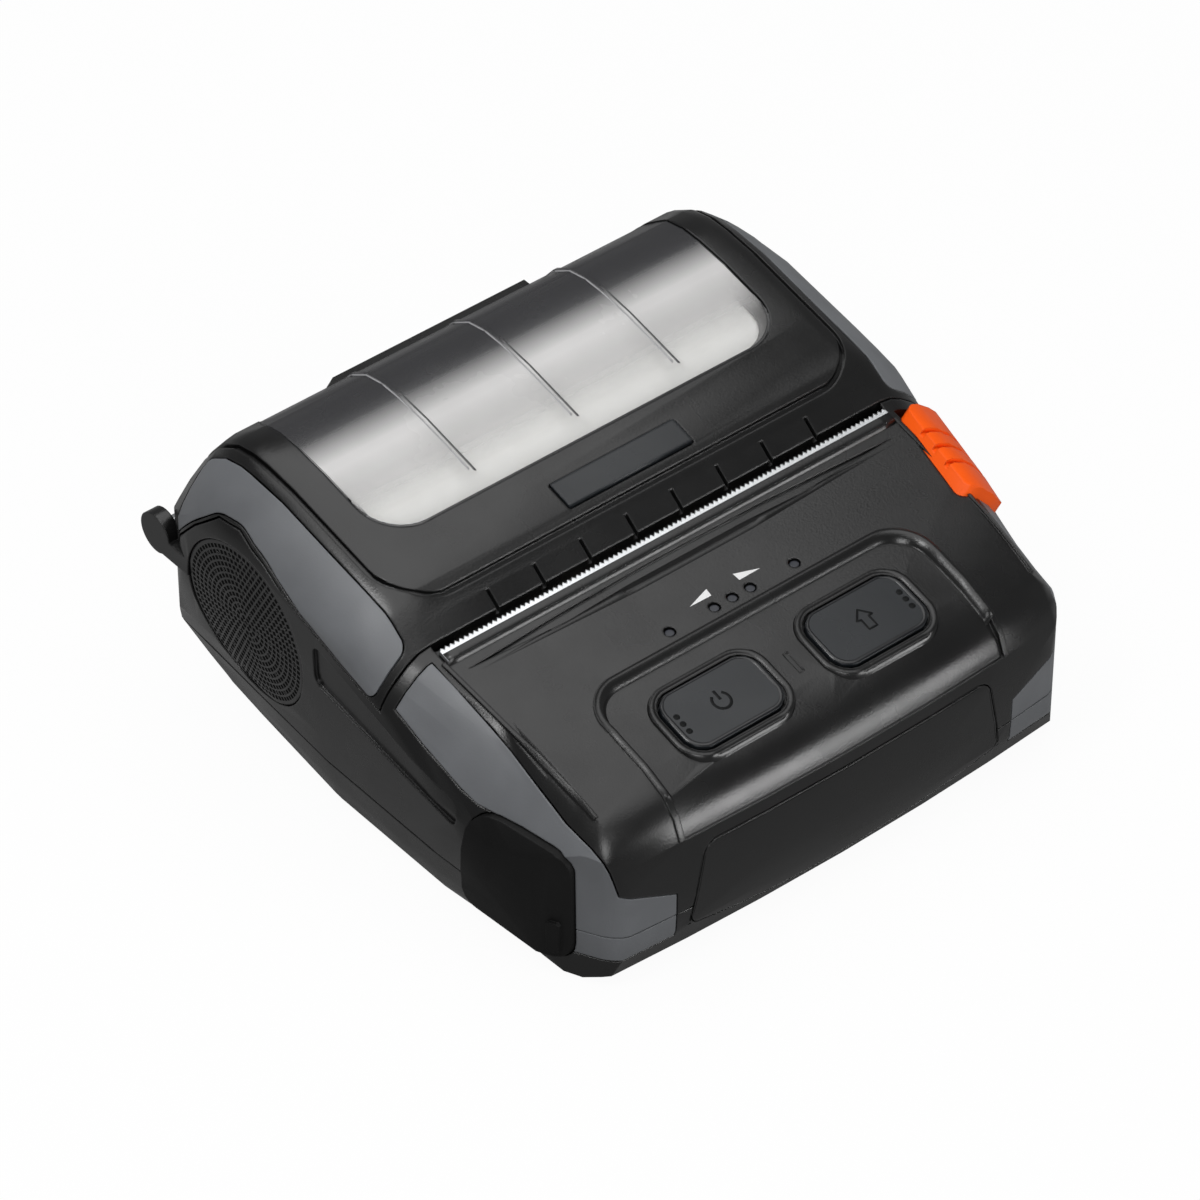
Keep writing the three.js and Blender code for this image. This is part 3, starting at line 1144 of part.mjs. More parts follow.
function controlBoard() {
  const top = KEYS.z + BOARD.thick
  const plate = block(-KEYS.half, KEYS.half, KEYS.front, KEYS.rear, KEYS.z, top)
  const keys = [-1, 1].map((side) => block(side * BUTTON.x - KEYS.key, side * BUTTON.x + KEYS.key,
    BUTTON.d - KEYS.key, BUTTON.d + KEYS.key, KEYS.z, top + KEYS.keyHigh))
  const leds = ledPlaces().map((x) => block(x - LED.r, x + LED.r, LED.d - LED.r, LED.d + LED.r,
    KEYS.z, topAt(LED.d) - LED.sunk - LED.length - FIT))
  return join(plate, ...keys, ...leds)
}

function usbSocket() {
  const [d0, d1] = [SOCKET.usbD - SOCKET.usbWide / 2, SOCKET.usbD + SOCKET.usbWide / 2]
  const z0 = BOARD.z + BOARD.thick + FIT
  const rear = SOCKET.length - BAY.mouth
  const shell = block(-BAY.mouth, rear, d0, d1, z0, z0 + SOCKET.usbHigh)
  const hollow = block(-BAY.mouth - OVER, rear - SOCKET.shell * 2, d0 + SOCKET.shell, d1 - SOCKET.shell,
    z0 + SOCKET.shell, z0 + SOCKET.usbHigh - SOCKET.shell)
  const tongue = block(-BAY.mouth + SOCKET.shell, rear, d0 + SOCKET.shell * 2, d1 - SOCKET.shell * 2,
    z0 + SOCKET.usbHigh / 2 - SOCKET.shell / 2, z0 + SOCKET.usbHigh / 2 + SOCKET.shell / 2)
  return join(cut(shell, hollow), tongue)
}

function dcSocket() {
  const z0 = BOARD.z + BOARD.thick + FIT
  const z = z0 + SOCKET.dcHigh / 2
  const rear = SOCKET.length - BAY.mouth
  const shell = block(-BAY.mouth, rear, SOCKET.dcD - SOCKET.dcWide / 2, SOCKET.dcD + SOCKET.dcWide / 2, z0,
    z0 + SOCKET.dcHigh)
  const hollow = bar(SOCKET.dcBore, -BAY.mouth - OVER, rear - SOCKET.shell * 2, SOCKET.dcD, z)
  const pin = bar(SOCKET.shell / 2, -BAY.mouth + SOCKET.shell, rear, SOCKET.dcD, z, ROUND_SIDES / 2)
  return join(cut(shell, hollow), pin)
}

// Fasteners and feet
function caseScrew([x, d]) {
  const shank = post(SCREW.shank, x, d, SCREW.sink, SCREW.sink + SCREW.length, ROUND_SIDES / 2)
  const head = post(SCREW.head, x, d, SCREW.sink, SCREW.sink + SCREW.headHigh - FIT, ROUND_SIDES / 2)
  const slots = [
    block(x - SCREW.slot, x + SCREW.slot, d - SCREW.slotWide / 2, d + SCREW.slotWide / 2, 0,
      SCREW.sink + SCREW.slotDeep),
    block(x - SCREW.slotWide / 2, x + SCREW.slotWide / 2, d - SCREW.slot, d + SCREW.slot, 0,
      SCREW.sink + SCREW.slotDeep),
  ]
  return cut(join(shank, head), ...slots)
}

function rubberFoot([x, d]) {
  return post(FOOT.r, x, d, 0, FLOOR + FOOT.seat - FIT)
}

function hingeRod() {
  const end = HINGE.capX + HINGE.capThick / 2 - FIT
  return bar(HINGE.rod, -end, end, HINGE.d, HINGE.z)
}

// Materials
function finish(color, roughness, metalness = 0) {
  return new THREE.MeshStandardMaterial({ color, roughness, metalness })
}

const BLACK = finish(0x1b1b1c, 0.55)
const INNER = finish(0x232425, 0.6)
const GREY = finish(0x66696d, 0.6)
const ORANGE = finish(0xff5a0c, 0.45)
const SLATE = finish(0x24282c, 0.4)
const RUBBER = finish(0x131313, 0.8)
const STEEL = finish(0xc4c6c8, 0.3, 1)
const PAPER = finish(0xe9e8e4, 0.9)
const CARD = finish(0x9b8a72, 0.9)
const BOARD_GREEN = finish(0x1f4a35, 0.5)
const CERAMIC = finish(0xb9b2a6, 0.4)
const LENS = finish(0xc9cdd0, 0.25)
const SMOKED = new THREE.MeshStandardMaterial({ color: 0x8b8d90, roughness: 0.25, transparent: true,
  opacity: 0.45 })

const printer = new THREE.Group()
const body = new THREE.Group()
body.position.y = -TOTAL_DEPTH / 2
printer.add(body)

function piece(name, solid, material) {
  const { vertProperties, triVerts, numProp } = solid.asOriginal().simplify(FINE).getMesh()
  const positions = new Float32Array(vertProperties.length / numProp * 3)
  for (let i = 0; i * numProp < vertProperties.length; i += 1) {
    positions.set(vertProperties.subarray(i * numProp, i * numProp + 3), i * 3)
  }
  const geometry = new THREE.BufferGeometry()
  geometry.setAttribute('position', new THREE.BufferAttribute(positions, 3))
  geometry.setIndex(new THREE.BufferAttribute(triVerts, 1))
  geometry.computeVertexNormals()
  const mesh = new THREE.Mesh(geometry, material)
  mesh.name = name
  body.add(mesh)
}

function pair(name, solid, material) {
  piece(`${name}_right`, solid, material)
  piece(`${name}_left`, mirrored(solid), material)
}

piece('bottom_case', bottomCase(), BLACK)
piece('main_case', mainCase(), BLACK)
piece('chassis', chassis(), INNER)
piece('front_panel', frontPanel(), BLACK)
piece('corner_strip_right', largest(cut(cornerStrip(), releaseRegion(FIT))), GREY)
piece('corner_strip_left', clearOfPort(mirrored(cornerStrip())), GREY)
piece('lower_corner_right', lowerCorner(), GREY)
piece('lower_corner_left', clearOfPort(mirrored(lowerCorner())), GREY)
pair('grille', grille(), BLACK)
piece('hinge_rod', hingeRod(), STEEL)

piece('cover_shell', coverShell(), BLACK)
piece('window', windowPane(), SMOKED)
pair('cover_strip', coverStrip(), GREY)
piece('badge_plate', badgePlate(), SLATE)
pair('platen_bushing', platenBush(), INNER)
piece('platen_shaft', platenShaft(), STEEL)
piece('platen_roller', platenRoller(), RUBBER)
piece('platen_gear', platenGear(), INNER)

piece('idler_gear', idlerGear(), PAPER)
piece('motor_pinion', motorPinion(), STEEL)
piece('step_motor', stepMotor(), STEEL)
piece('tear_bar', tearBar(), STEEL)
piece('print_head', printHead(), CERAMIC)
piece('heat_sink', heatSink(), STEEL)
piece('head_spring_right', headSpring(HEAD.springX), STEEL)
piece('head_spring_left', headSpring(-HEAD.springX), STEEL)
piece('latch_bar', latchBar(), STEEL)
piece('release_button', releaseButton(), ORANGE)

piece('power_button', deckButton(-1), SLATE)
piece('feed_button', deckButton(1), SLATE)
ledPlaces().forEach((x, i) => piece(`status_led_${i + 1}`, ledLens(x), LENS))
piece('control_board', controlBoard(), BOARD_GREEN)
piece('main_board', mainBoard(), BOARD_GREEN)
piece('usb_socket', usbSocket(), STEEL)
piece('dc_socket', dcSocket(), RUBBER)
piece('port_cover', portCover(), RUBBER)
piece('battery_pack', batteryPack(), INNER)
piece('battery_latch', batteryCatch(), INNER)

piece('paper_roll', paperRing(ROLL.r, ROLL.core), PAPER)
piece('paper_core', paperRing(ROLL.core - FIT, ROLL.bore), CARD)
screwPlaces().forEach((place, i) => piece(`case_screw_${i + 1}`, caseScrew(place), STEEL))
footPlaces().forEach((place, i) => piece(`foot_${i + 1}`, rubberFoot(place), RUBBER))

export default printer
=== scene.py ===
"""Looks for the portable receipt printer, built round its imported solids.

Objects are in metres. The lengths named below are millimetres unless a comment says metres,
and MM turns them into metres. X is the width, a depth d is measured back from the foremost
point, and Z is up.
"""

import json
import math

import bpy
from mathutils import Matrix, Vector
from mathutils.bvhtree import BVHTree


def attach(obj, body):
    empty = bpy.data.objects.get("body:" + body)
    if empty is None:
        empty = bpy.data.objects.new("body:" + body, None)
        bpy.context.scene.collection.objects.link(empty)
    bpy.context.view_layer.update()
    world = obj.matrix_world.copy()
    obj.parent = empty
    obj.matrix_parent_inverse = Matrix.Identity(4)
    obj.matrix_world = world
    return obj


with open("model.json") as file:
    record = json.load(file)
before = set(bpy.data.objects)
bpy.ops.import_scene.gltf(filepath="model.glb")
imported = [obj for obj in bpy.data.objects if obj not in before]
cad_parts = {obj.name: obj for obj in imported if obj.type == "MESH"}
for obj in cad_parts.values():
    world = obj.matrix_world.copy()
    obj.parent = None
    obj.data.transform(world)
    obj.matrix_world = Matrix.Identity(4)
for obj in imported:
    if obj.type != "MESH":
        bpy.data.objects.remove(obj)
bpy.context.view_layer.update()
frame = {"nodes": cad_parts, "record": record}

MM = 0.001
FRONT_Y = -67.5  # the foremost point, from which depths are measured

# ---------------------------------------------------------------- view and light

CAMERA_AT = (-611.3 * MM, -732.7 * MM, 867.8 * MM)
CAMERA_TARGET = (1.29 * MM, 10.57 * MM, 16.10 * MM)
CAMERA_LENS = 192.8
CAMERA_SENSOR = 36.0
CAMERA_NEAR = 0.01  # metres, as the far end
CAMERA_FAR = 20

WHITE = (1, 1, 1, 1)
WORLD_LIGHT = (0.62, 0.63, 0.65, 1)
WORLD_STRENGTH = 0.12
GLOSS_SHARE_WHITE = 0.15
FLOOR_HALF = 4.0  # metres
FLOOR_COLOUR = (0.2, 0.2, 0.2, 1)
FLOOR_GLOW = 1.19
FLOOR_SHARE_WHITE = 0.8

LAMP_TARGET = (0, 0, 0.03)  # metres, as the lamps
# name, place, width, power, and the height of a lamp that isn't square
LAMPS = (
    ("top", (0.02, 0.1, 1.0), 1.08, 8.4, 1.4),
    ("low", (0.62, -1.42, 0.24), 0.7, 8, 0.4),
    ("key", (-0.6, 0.0, 0.9), 0.3, 3, None),
    ("front", (-0.6, -0.8, 0.6), 0.4, 3, None),
)


def put(obj, at, target):
    """Adds a lamp or the camera at its place, looking at target."""
    obj.location = at
    bpy.context.scene.collection.objects.link(obj)
    way = Vector(target) - obj.location
    obj.rotation_euler = way.to_track_quat("-Z", "Y").to_euler()


def add_camera():
    data = bpy.data.cameras.new("camera")
    data.sensor_width = CAMERA_SENSOR
    data.lens = CAMERA_LENS
    data.clip_start = CAMERA_NEAR
    data.clip_end = CAMERA_FAR
    camera = bpy.data.objects.new("camera", data)
    put(camera, CAMERA_AT, CAMERA_TARGET)
    bpy.context.scene.camera = camera


def add_lamp(name, at, width, power, height):
    data = bpy.data.lights.new(name, "AREA")
    data.energy = power
    data.size = width
    if height:
        data.shape = "RECTANGLE"
        data.size_y = height
    put(bpy.data.objects.new(name, data), at, LAMP_TARGET)


def maths(tree, operation, first, second):
    """Result of a sum on two values, each a number or the output of a node."""
    node = tree.nodes.new("ShaderNodeMath")
    node.operation = operation
    for socket, value in zip(node.inputs, (first, second)):
        if isinstance(value, (int, float)):
            socket.default_value = value
        else:
            tree.links.new(value, socket)
    return node.outputs[0]


def seen_share(tree):
    """Share of white: full for the camera and through glass, less in gloss, nought for the rest."""
    ray = tree.nodes.new("ShaderNodeLightPath").outputs
    gloss = maths(tree, "MULTIPLY", ray["Is Glossy Ray"], GLOSS_SHARE_WHITE)
    seen = maths(tree, "MAXIMUM", ray["Is Camera Ray"], gloss)
    return maths(tree, "MAXIMUM", seen, ray["Is Transmission Ray"])


def show_by_share(tree, output_type, share, plain, white):
    """Sends the plain shader to the output, and the white one in its place by share."""
    mix = tree.nodes.new("ShaderNodeMixShader")
    tree.links.new(share, mix.inputs[0])
    tree.links.new(plain.outputs[0], mix.inputs[1])
    tree.links.new(white.outputs[0], mix.inputs[2])
    tree.links.new(mix.outputs[0], tree.nodes.new(output_type).inputs[0])


def add_world():
    world = bpy.data.worlds.new("world")
    bpy.context.scene.world = world
    world.use_nodes = True
    tree = world.node_tree
    tree.nodes.clear()
    soft = tree.nodes.new("ShaderNodeBackground")
    soft.inputs["Color"].default_value = WORLD_LIGHT
    soft.inputs["Strength"].default_value = WORLD_STRENGTH
    white = tree.nodes.new("ShaderNodeBackground")
    white.inputs["Color"].default_value = WHITE
    show_by_share(tree, "ShaderNodeOutputWorld", seen_share(tree), soft, white)


def add_floor():
    material = bpy.data.materials.new("floor")
    material.use_nodes = True
    tree = material.node_tree
    tree.nodes.clear()
    plain = tree.nodes.new("ShaderNodeBsdfDiffuse")
    plain.inputs["Color"].default_value = FLOOR_COLOUR
    white = tree.nodes.new("ShaderNodeEmission")
    white.inputs["Color"].default_value = WHITE
    white.inputs["Strength"].default_value = FLOOR_GLOW
    share = maths(tree, "MULTIPLY", seen_share(tree), FLOOR_SHARE_WHITE)
    show_by_share(tree, "ShaderNodeOutputMaterial", share, plain, white)

    h = FLOOR_HALF
    mesh = bpy.data.meshes.new("floor")
    mesh.from_pydata([(-h, -h, 0), (h, -h, 0), (h, h, 0), (-h, h, 0)], [], [(0, 1, 2, 3)])
    mesh.materials.append(material)
    floor = bpy.data.objects.new("floor", mesh)
    bpy.context.scene.collection.objects.link(floor)


# ---------------------------------------------------------------- materials

CLOUDS_PER_METRE = 60
SMUDGES_PER_METRE = 35
ROUGH_LEAST = 0.02
BEVEL_SAMPLES = 4
NOISE_LOW = 0.3  # most of a noise lies between these two
NOISE_HIGH = 0.7
# cosine of the angle between the softened and the flat surface, where the lightening of edges
# starts and is full; it is partly worn edges and partly painted highlight
WEAR_AND_HIGHLIGHT_NONE = 0.985
WEAR_AND_HIGHLIGHT_FULL = 0.80
GRAIN_STRENGTH = 0.6


def linear(r, g, b):
    """Linear values of a colour as a screen shows it, from 0 to 255."""
    def one(v):
        v = v / 255
        return v / 12.92 if v <= 0.04045 else ((v + 0.055) / 1.055) ** 2.4
    return (one(r), one(g), one(b), 1)


def scaled(colour, k):
    return tuple(min(value * k, 1) for value in colour[:3]) + (1,)


def noise(tree, coords, per_metre, detail, rough, stretch=None):
    """Noise of a stated number of cells a metre on the part's own coordinates."""
    if stretch:
        mapping = tree.nodes.new("ShaderNodeMapping")
        mapping.inputs["Scale"].default_value = stretch
        tree.links.new(coords, mapping.inputs["Vector"])
        coords = mapping.outputs["Vector"]
    node = tree.nodes.new("ShaderNodeTexNoise")
    node.inputs["Scale"].default_value = per_metre
    node.inputs["Detail"].default_value = detail
    node.inputs["Roughness"].default_value = rough
    tree.links.new(coords, node.inputs["Vector"])
    return node.outputs["Fac"]


def ranged(tree, value, low, high, start=NOISE_LOW, end=NOISE_HIGH):
    """Turns a value between start and end into one between low and high."""
    node = tree.nodes.new("ShaderNodeMapRange")
    node.inputs["From Min"].default_value = start
    node.inputs["From Max"].default_value = end
    node.inputs["To Min"].default_value = low
    node.inputs["To Max"].default_value = high
    tree.links.new(value, node.inputs["Value"])
    return node.outputs["Result"]


def mixed(tree, share, under, over):
    """Colour under with the colour over laid on it by share; under may be a node's output."""
    mix = tree.nodes.new("ShaderNodeMix")
    mix.data_type = "RGBA"
    mix.inputs["B"].default_value = over
    if isinstance(under, tuple):
        mix.inputs["A"].default_value = under
    else:
        tree.links.new(under, mix.inputs["A"])
    tree.links.new(share, mix.inputs["Factor"])
    return mix.outputs["Result"]


def surface(name, colour, rough, rough_vary=0.08, metal=0.0, specular=0.5, vary=0.12, wear_and_highlight=1.7,
            grain=2600, stretch=None, depth=0.00002, edge=0.00035):
    """Surface of clouded colour and uneven gloss, with fine grain and softened edges, lightened
    partly as worn edges and partly as painted highlight.

    vary is how far the colour strays, wear_and_highlight how much brighter it is on edges, partly
    as worn edges and partly as painted highlight, and grain the cells a metre. The grain's depth
    and the radius of the softened edge are metres.
    """
    material = bpy.data.materials.new(name)
    material.use_nodes = True
    tree = material.node_tree
    link = tree.links.new
    shader = tree.nodes["Principled BSDF"].inputs
    shader["Metallic"].default_value = metal
    shader["Specular IOR Level"].default_value = specular
    coords = tree.nodes.new("ShaderNodeTexCoord").outputs["Object"]

    bevel = tree.nodes.new("ShaderNodeBevel")
    bevel.samples = BEVEL_SAMPLES
    bevel.inputs["Radius"].default_value = edge
    dot = tree.nodes.new("ShaderNodeVectorMath")
    dot.operation = "DOT_PRODUCT"
    link(bevel.outputs["Normal"], dot.inputs[0])
    link(tree.nodes.new("ShaderNodeNewGeometry").outputs["Normal"], dot.inputs[1])

    clouds = ranged(tree, noise(tree, coords, CLOUDS_PER_METRE, detail=3, rough=0.5), 0, 1)
    clouded = mixed(tree, clouds, scaled(colour, 1 - vary), scaled(colour, 1 + vary))
    # edges are lightened here, partly as worn edges and partly as painted highlight
    edges = ranged(tree, dot.outputs["Value"], 1, 0, WEAR_AND_HIGHLIGHT_FULL, WEAR_AND_HIGHLIGHT_NONE)
    link(mixed(tree, edges, clouded, scaled(colour, wear_and_highlight)), shader["Base Color"])

    smudges = noise(tree, coords, SMUDGES_PER_METRE, detail=4, rough=0.6)
    low, high = max(rough - rough_vary, ROUGH_LEAST), min(rough + rough_vary, 1)
    link(ranged(tree, smudges, low, high), shader["Roughness"])

    bump = tree.nodes.new("ShaderNodeBump")
    bump.inputs["Strength"].default_value = GRAIN_STRENGTH
    bump.inputs["Distance"].default_value = depth
    fine = noise(tree, coords, grain, detail=2, rough=0.6, stretch=stretch)
    link(fine, bump.inputs["Height"])
    link(bevel.outputs["Normal"], bump.inputs["Normal"])
    link(bump.outputs["Normal"], shader["Normal"])
    return material


def lay_over(tree, share, colour):
    """Lays a colour over the base colour that the material has so far, by share."""
    base = tree.nodes["Principled BSDF"].inputs["Base Color"]
    tree.links.new(mixed(tree, share, base.links[0].from_socket, colour), base)


# painted light and shade on the pane: milky white standing in for the lit paper roll behind it,
# then a painted dark shade towards the rear
PANE_CLEAR_D = 86
PANE_PAINTED_PAPER_D = 98
PANE_SHADE_START_D = 100
PANE_SHADE_FULL_D = 107
PANE_CLEAR_ALPHA = 0.12
PANE_PAINTED_PAPER_ALPHA = 0.78
PANE_PAINTED_SHADE = (60, 60, 62)


def paint_pane_paper_and_shade(material):
    """Makes the pane clear near the front, then painted milky white that stands in for the lit
    paper roll behind it, and painted dark shade towards the rear.
    """
    tree = material.node_tree
    place = tree.nodes.new("ShaderNodeSeparateXYZ")
    tree.links.new(tree.nodes["Texture Coordinate"].outputs["Object"], place.inputs[0])
    y = place.outputs["Y"]
    pane_paper_alpha = ranged(tree, y, PANE_CLEAR_ALPHA, PANE_PAINTED_PAPER_ALPHA,
                  (PANE_CLEAR_D + FRONT_Y) * MM, (PANE_PAINTED_PAPER_D + FRONT_Y) * MM)
    tree.links.new(pane_paper_alpha, tree.nodes["Principled BSDF"].inputs["Alpha"])
    # painted shade: the pane turns dark towards the rear
    pane_shade_share = ranged(tree, y, 0, 1, (PANE_SHADE_START_D + FRONT_Y) * MM, (PANE_SHADE_FULL_D + FRONT_Y) * MM)
    lay_over(tree, pane_shade_share, linear(*PANE_PAINTED_SHADE))


PAPER = (238, 238, 235)
ROLL_AXIS = (0, 0.0265, 0.0348)  # metres
WOUND_PER_METRE = 190
WOUND_STRAY = 0.6
WOUND_SHADE = 0.9


def wind_paper(material):
    """Adds faint rings about the axis of the paper roll, seen on its ends."""
    tree = material.node_tree
    place = tree.nodes.new("ShaderNodeVectorMath")
    place.operation = "SUBTRACT"
    place.inputs[1].default_value = ROLL_AXIS
    tree.links.new(tree.nodes["Texture Coordinate"].outputs["Object"], place.inputs[0])
    wave = tree.nodes.new("ShaderNodeTexWave")
    wave.wave_type = "RINGS"
    wave.rings_direction = "X"
    wave.inputs["Scale"].default_value = WOUND_PER_METRE
    wave.inputs["Distortion"].default_value = WOUND_STRAY
    tree.links.new(place.outputs["Vector"], wave.inputs["Vector"])
    lay_over(tree, wave.outputs["Fac"], scaled(linear(*PAPER), WOUND_SHADE))


# name, colour on a screen, roughness, and what differs from the usual surface
FINISHES = (
    # black plastic: its edges are lightened strongly, partly as worn edges and partly as painted
    # highlight
    ("black_plastic", (15, 15, 15), 0.25, dict(wear_and_highlight=4, grain=2200, depth=0.00004, edge=0.0005)),
    ("inner_plastic", (33, 34, 36), 0.5, dict(grain=1800)),
    ("grey_plastic", (103, 105, 108), 0.45, dict(wear_and_highlight=1.2, grain=2400, depth=0.00003)),
    ("orange_plastic", (255, 92, 10), 0.42, dict(specular=0.25, vary=0.05, wear_and_highlight=1.05)),
    ("key_plastic", (26, 29, 32), 0.24,
     dict(rough_vary=0.06, specular=0.4, grain=900, depth=0.000006, edge=0.0008)),
    ("rubber_black", (10, 10, 10), 0.6, dict(specular=0.22, wear_and_highlight=1.3, grain=1500, depth=0.00003)),
    ("steel", (205, 207, 209), 0.26,
     dict(metal=1.0, vary=0.04, wear_and_highlight=1.1, grain=1500, stretch=(1, 14, 14), depth=0.00001)),
    ("paper_white", PAPER, 0.85, dict(vary=0.03, wear_and_highlight=1.0, grain=1800)),
    ("card_brown", (155, 139, 114), 0.85, dict(vary=0.1, wear_and_highlight=1.0, grain=900)),
    ("nylon_white", (230, 229, 222), 0.45, dict(vary=0.03, wear_and_highlight=1.05)),
    ("board_green", (26, 74, 52), 0.35, dict(vary=0.15, wear_and_highlight=1.1)),
    ("ceramic", (188, 180, 168), 0.25, dict(vary=0.05, wear_and_highlight=1.05)),
    ("led_clear", (52, 54, 60), 0.14, dict(vary=0.05, wear_and_highlight=1.0, grain=400)),
    ("smoked_window", (214, 213, 212), 0.26, dict(vary=0.05, wear_and_highlight=1.1, grain=900, depth=0.000004)),
    ("gloss_black", (20, 21, 23), 0.16, dict(rough_vary=0.05, wear_and_highlight=2, grain=900, depth=0.000006)),
    ("rib_shade", (70, 70, 71), 0.3, dict(vary=0.05, wear_and_highlight=1.0)),
    ("rib_lit", (165, 165, 167), 0.35, dict(vary=0.05, wear_and_highlight=1.0)),
    ("painted_shade_dark", (7, 7, 7), 0.9, dict(specular=0.1, wear_and_highlight=1.0)),
    ("key_mark", (8, 9, 10), 0.5, dict(specular=0.15, vary=0.05, wear_and_highlight=1.0)),
    ("white_print", (225, 225, 225), 0.6, dict(vary=0.04, wear_and_highlight=1.0)),
)


def make_finishes():
    made = {name: surface(name, linear(*colour), rough, **differs)
            for name, colour, rough, differs in FINISHES}
    wind_paper(made["paper_white"])
    paint_pane_paper_and_shade(made["smoked_window"])
    return made


SMOOTH_BELOW = math.radians(32)
JOIN_WITHIN = 0.000002  # metres


def smooth_group():
    """Joins the triangles of a solid and shades it smooth except across sharp edges."""
    group = bpy.data.node_groups.new("smooth_by_angle", "GeometryNodeTree")
    group.interface.new_socket("Geometry", in_out="INPUT", socket_type="NodeSocketGeometry")
    group.interface.new_socket("Geometry", in_out="OUTPUT", socket_type="NodeSocketGeometry")
    start = group.nodes.new("NodeGroupInput")
    bare = group.nodes.new("GeometryNodeRemoveAttribute")
    bare.inputs["Name"].default_value = "custom_normal"
    merge = group.nodes.new("GeometryNodeMergeByDistance")
    merge.inputs["Distance"].default_value = JOIN_WITHIN
    soft = group.nodes.new("GeometryNodeSetShadeSmooth")
    soft.domain = "FACE"
    sharp = group.nodes.new("GeometryNodeSetShadeSmooth")
    sharp.domain = "EDGE"
    sharp.inputs["Shade Smooth"].default_value = False
    end = group.nodes.new("NodeGroupOutput")
    angle = group.nodes.new("GeometryNodeInputMeshEdgeAngle")
    above = group.nodes.new("FunctionNodeCompare")
    above.operation = "GREATER_THAN"
    above.inputs["B"].default_value = SMOOTH_BELOW
    link = group.links.new
    link(start.outputs[0], bare.inputs["Geometry"])
    link(bare.outputs[0], merge.inputs["Geometry"])
    link(merge.outputs[0], soft.inputs["Geometry"])
    link(soft.outputs[0], sharp.inputs["Geometry"])
    link(angle.outputs["Unsigned Angle"], above.inputs["A"])
    link(above.outputs[0], sharp.inputs["Selection"])
    link(sharp.outputs[0], end.inputs[0])
    return group


def dress_nodes():
    """Gives every solid of the part the finish that its slot in the record names."""
    group = smooth_group()
    for row in frame["record"]["subparts"]:
        node = frame["nodes"][row["node"]]
        node.data.materials.clear()
        node.data.materials.append(finishes[row["material_slot"]])
        node.modifiers.new("smooth", "NODES").node_group = group


# ---------------------------------------------------------------- laying details on the solids

RAY_START = 200  # outside the object on every side


def skin_of(*names):
    """Search tree over the rest shape of these solids."""
    points, faces = [], []
    for name in names:
        node = frame["nodes"][name]
        first = len(points)
        points += [node.matrix_world @ v.co for v in node.data.vertices]
        faces += [[first + i for i in polygon.vertices] for polygon in node.data.polygons]
    return BVHTree.FromPolygons(points, faces)


def met(skin, start, way, lift):
    """Point lift outside the surface that a ray meets, in metres."""
    spot, normal, _, _ = skin.ray_cast(Vector(start) * MM, Vector(way))
    return spot + normal * lift * MM


def on_top(*names):
    """Function that gives the point lift above these solids at x and depth d."""
    skin = skin_of(*names)
    return lambda x, d, lift: met(skin, (x, d + FRONT_Y, RAY_START), (0, 0, -1), lift)


def on_side(side, *names):
    """Function that gives the point lift outside these solids' left (-1) or right (1) side."""
    skin = skin_of(*names)
    start = side * RAY_START
    return lambda d, z, lift: met(skin, (start, d + FRONT_Y, z), (-side, 0, 0), lift)


def on_front(*names):
    """Function that gives the point lift in front of these solids at x and height z."""
    skin = skin_of(*names)
    return lambda x, z, lift: met(skin, (x, -RAY_START, z), (0, 1, 0), lift)


def add_piece(name, shape, finish, body, smooth=True):
    """Adds a piece of points and faces that rides on a body."""
    points, faces = shape
    mesh = bpy.data.meshes.new(name)
    mesh.from_pydata(points, [], faces)
    mesh.update()
    mesh.materials.append(finishes[finish])
    for polygon in mesh.polygons:
        polygon.use_smooth = smooth
    obj = bpy.data.objects.new(name, mesh)
    bpy.context.scene.collection.objects.link(obj)
    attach(obj, body)


def join(shapes):
    """One list of points and faces from several."""
    points, faces = [], []
    for more_points, more_faces in shapes:
        first = len(points)
        points += more_points
        faces += [tuple(first + i for i in face) for face in more_faces]
    return points, faces


# cross-section of a line: the share of its width across and of its rise up
ROUND_LINE = ((-0.5, 0.0), (-0.32, 0.7), (0.0, 1.0), (0.32, 0.7), (0.5, 0.0))
LINE_SINK = 0.03  # how far its two edges reach under the surface
LINE_TIP = 0.2


def line(place, path, width, rise, closed=False, taper=0):
    """Rounded line of that width and rise along a path on a surface.

    It may be closed, and with taper it thins out over that many points at both ends.
    """
    points, faces = [], []
    count = len(path)
    last = count - 1
    for i, (a, b) in enumerate(path):
        before = path[i - 1] if closed or i else path[0]
        after = path[(i + 1) % count] if closed or i < last else path[-1]
        da, db = after[0] - before[0], after[1] - before[1]
        length = math.hypot(da, db)
        na, nb = -db / length, da / length
        full = min(1, (i + LINE_TIP) / taper, (last - i + LINE_TIP) / taper) if taper else 1
        for across, up in ROUND_LINE:
            out = width * full * across
            lift = up * rise * full - LINE_SINK * (1 - up)
            points.append(place(a + na * out, b + nb * out, lift))
    row = len(ROUND_LINE)
    for i in range(count if closed else last):
        j = (i + 1) % count
        for k in range(row - 1):
            faces.append((i * row + k, j * row + k, j * row + k + 1, i * row + k + 1))
    if not closed:
        faces.append(tuple(range(row)))
        faces.append(tuple(last * row + k for k in reversed(range(row))))
    return points, faces


def straight(a, b, steps):
    """Path from a to b in so many steps."""
    return [(a[0] + (b[0] - a[0]) * i / steps, a[1] + (b[1] - a[1]) * i / steps)
            for i in range(steps + 1)]


def arc(x, d, r, start, end, steps):
    """Path on an arc, its angles in degrees from the rear, clockwise seen from above."""
    path = []
    for i in range(steps + 1):
        t = math.radians(start + (end - start) * i / steps)
        path.append((x + r * math.sin(t), d + r * math.cos(t)))
    return path


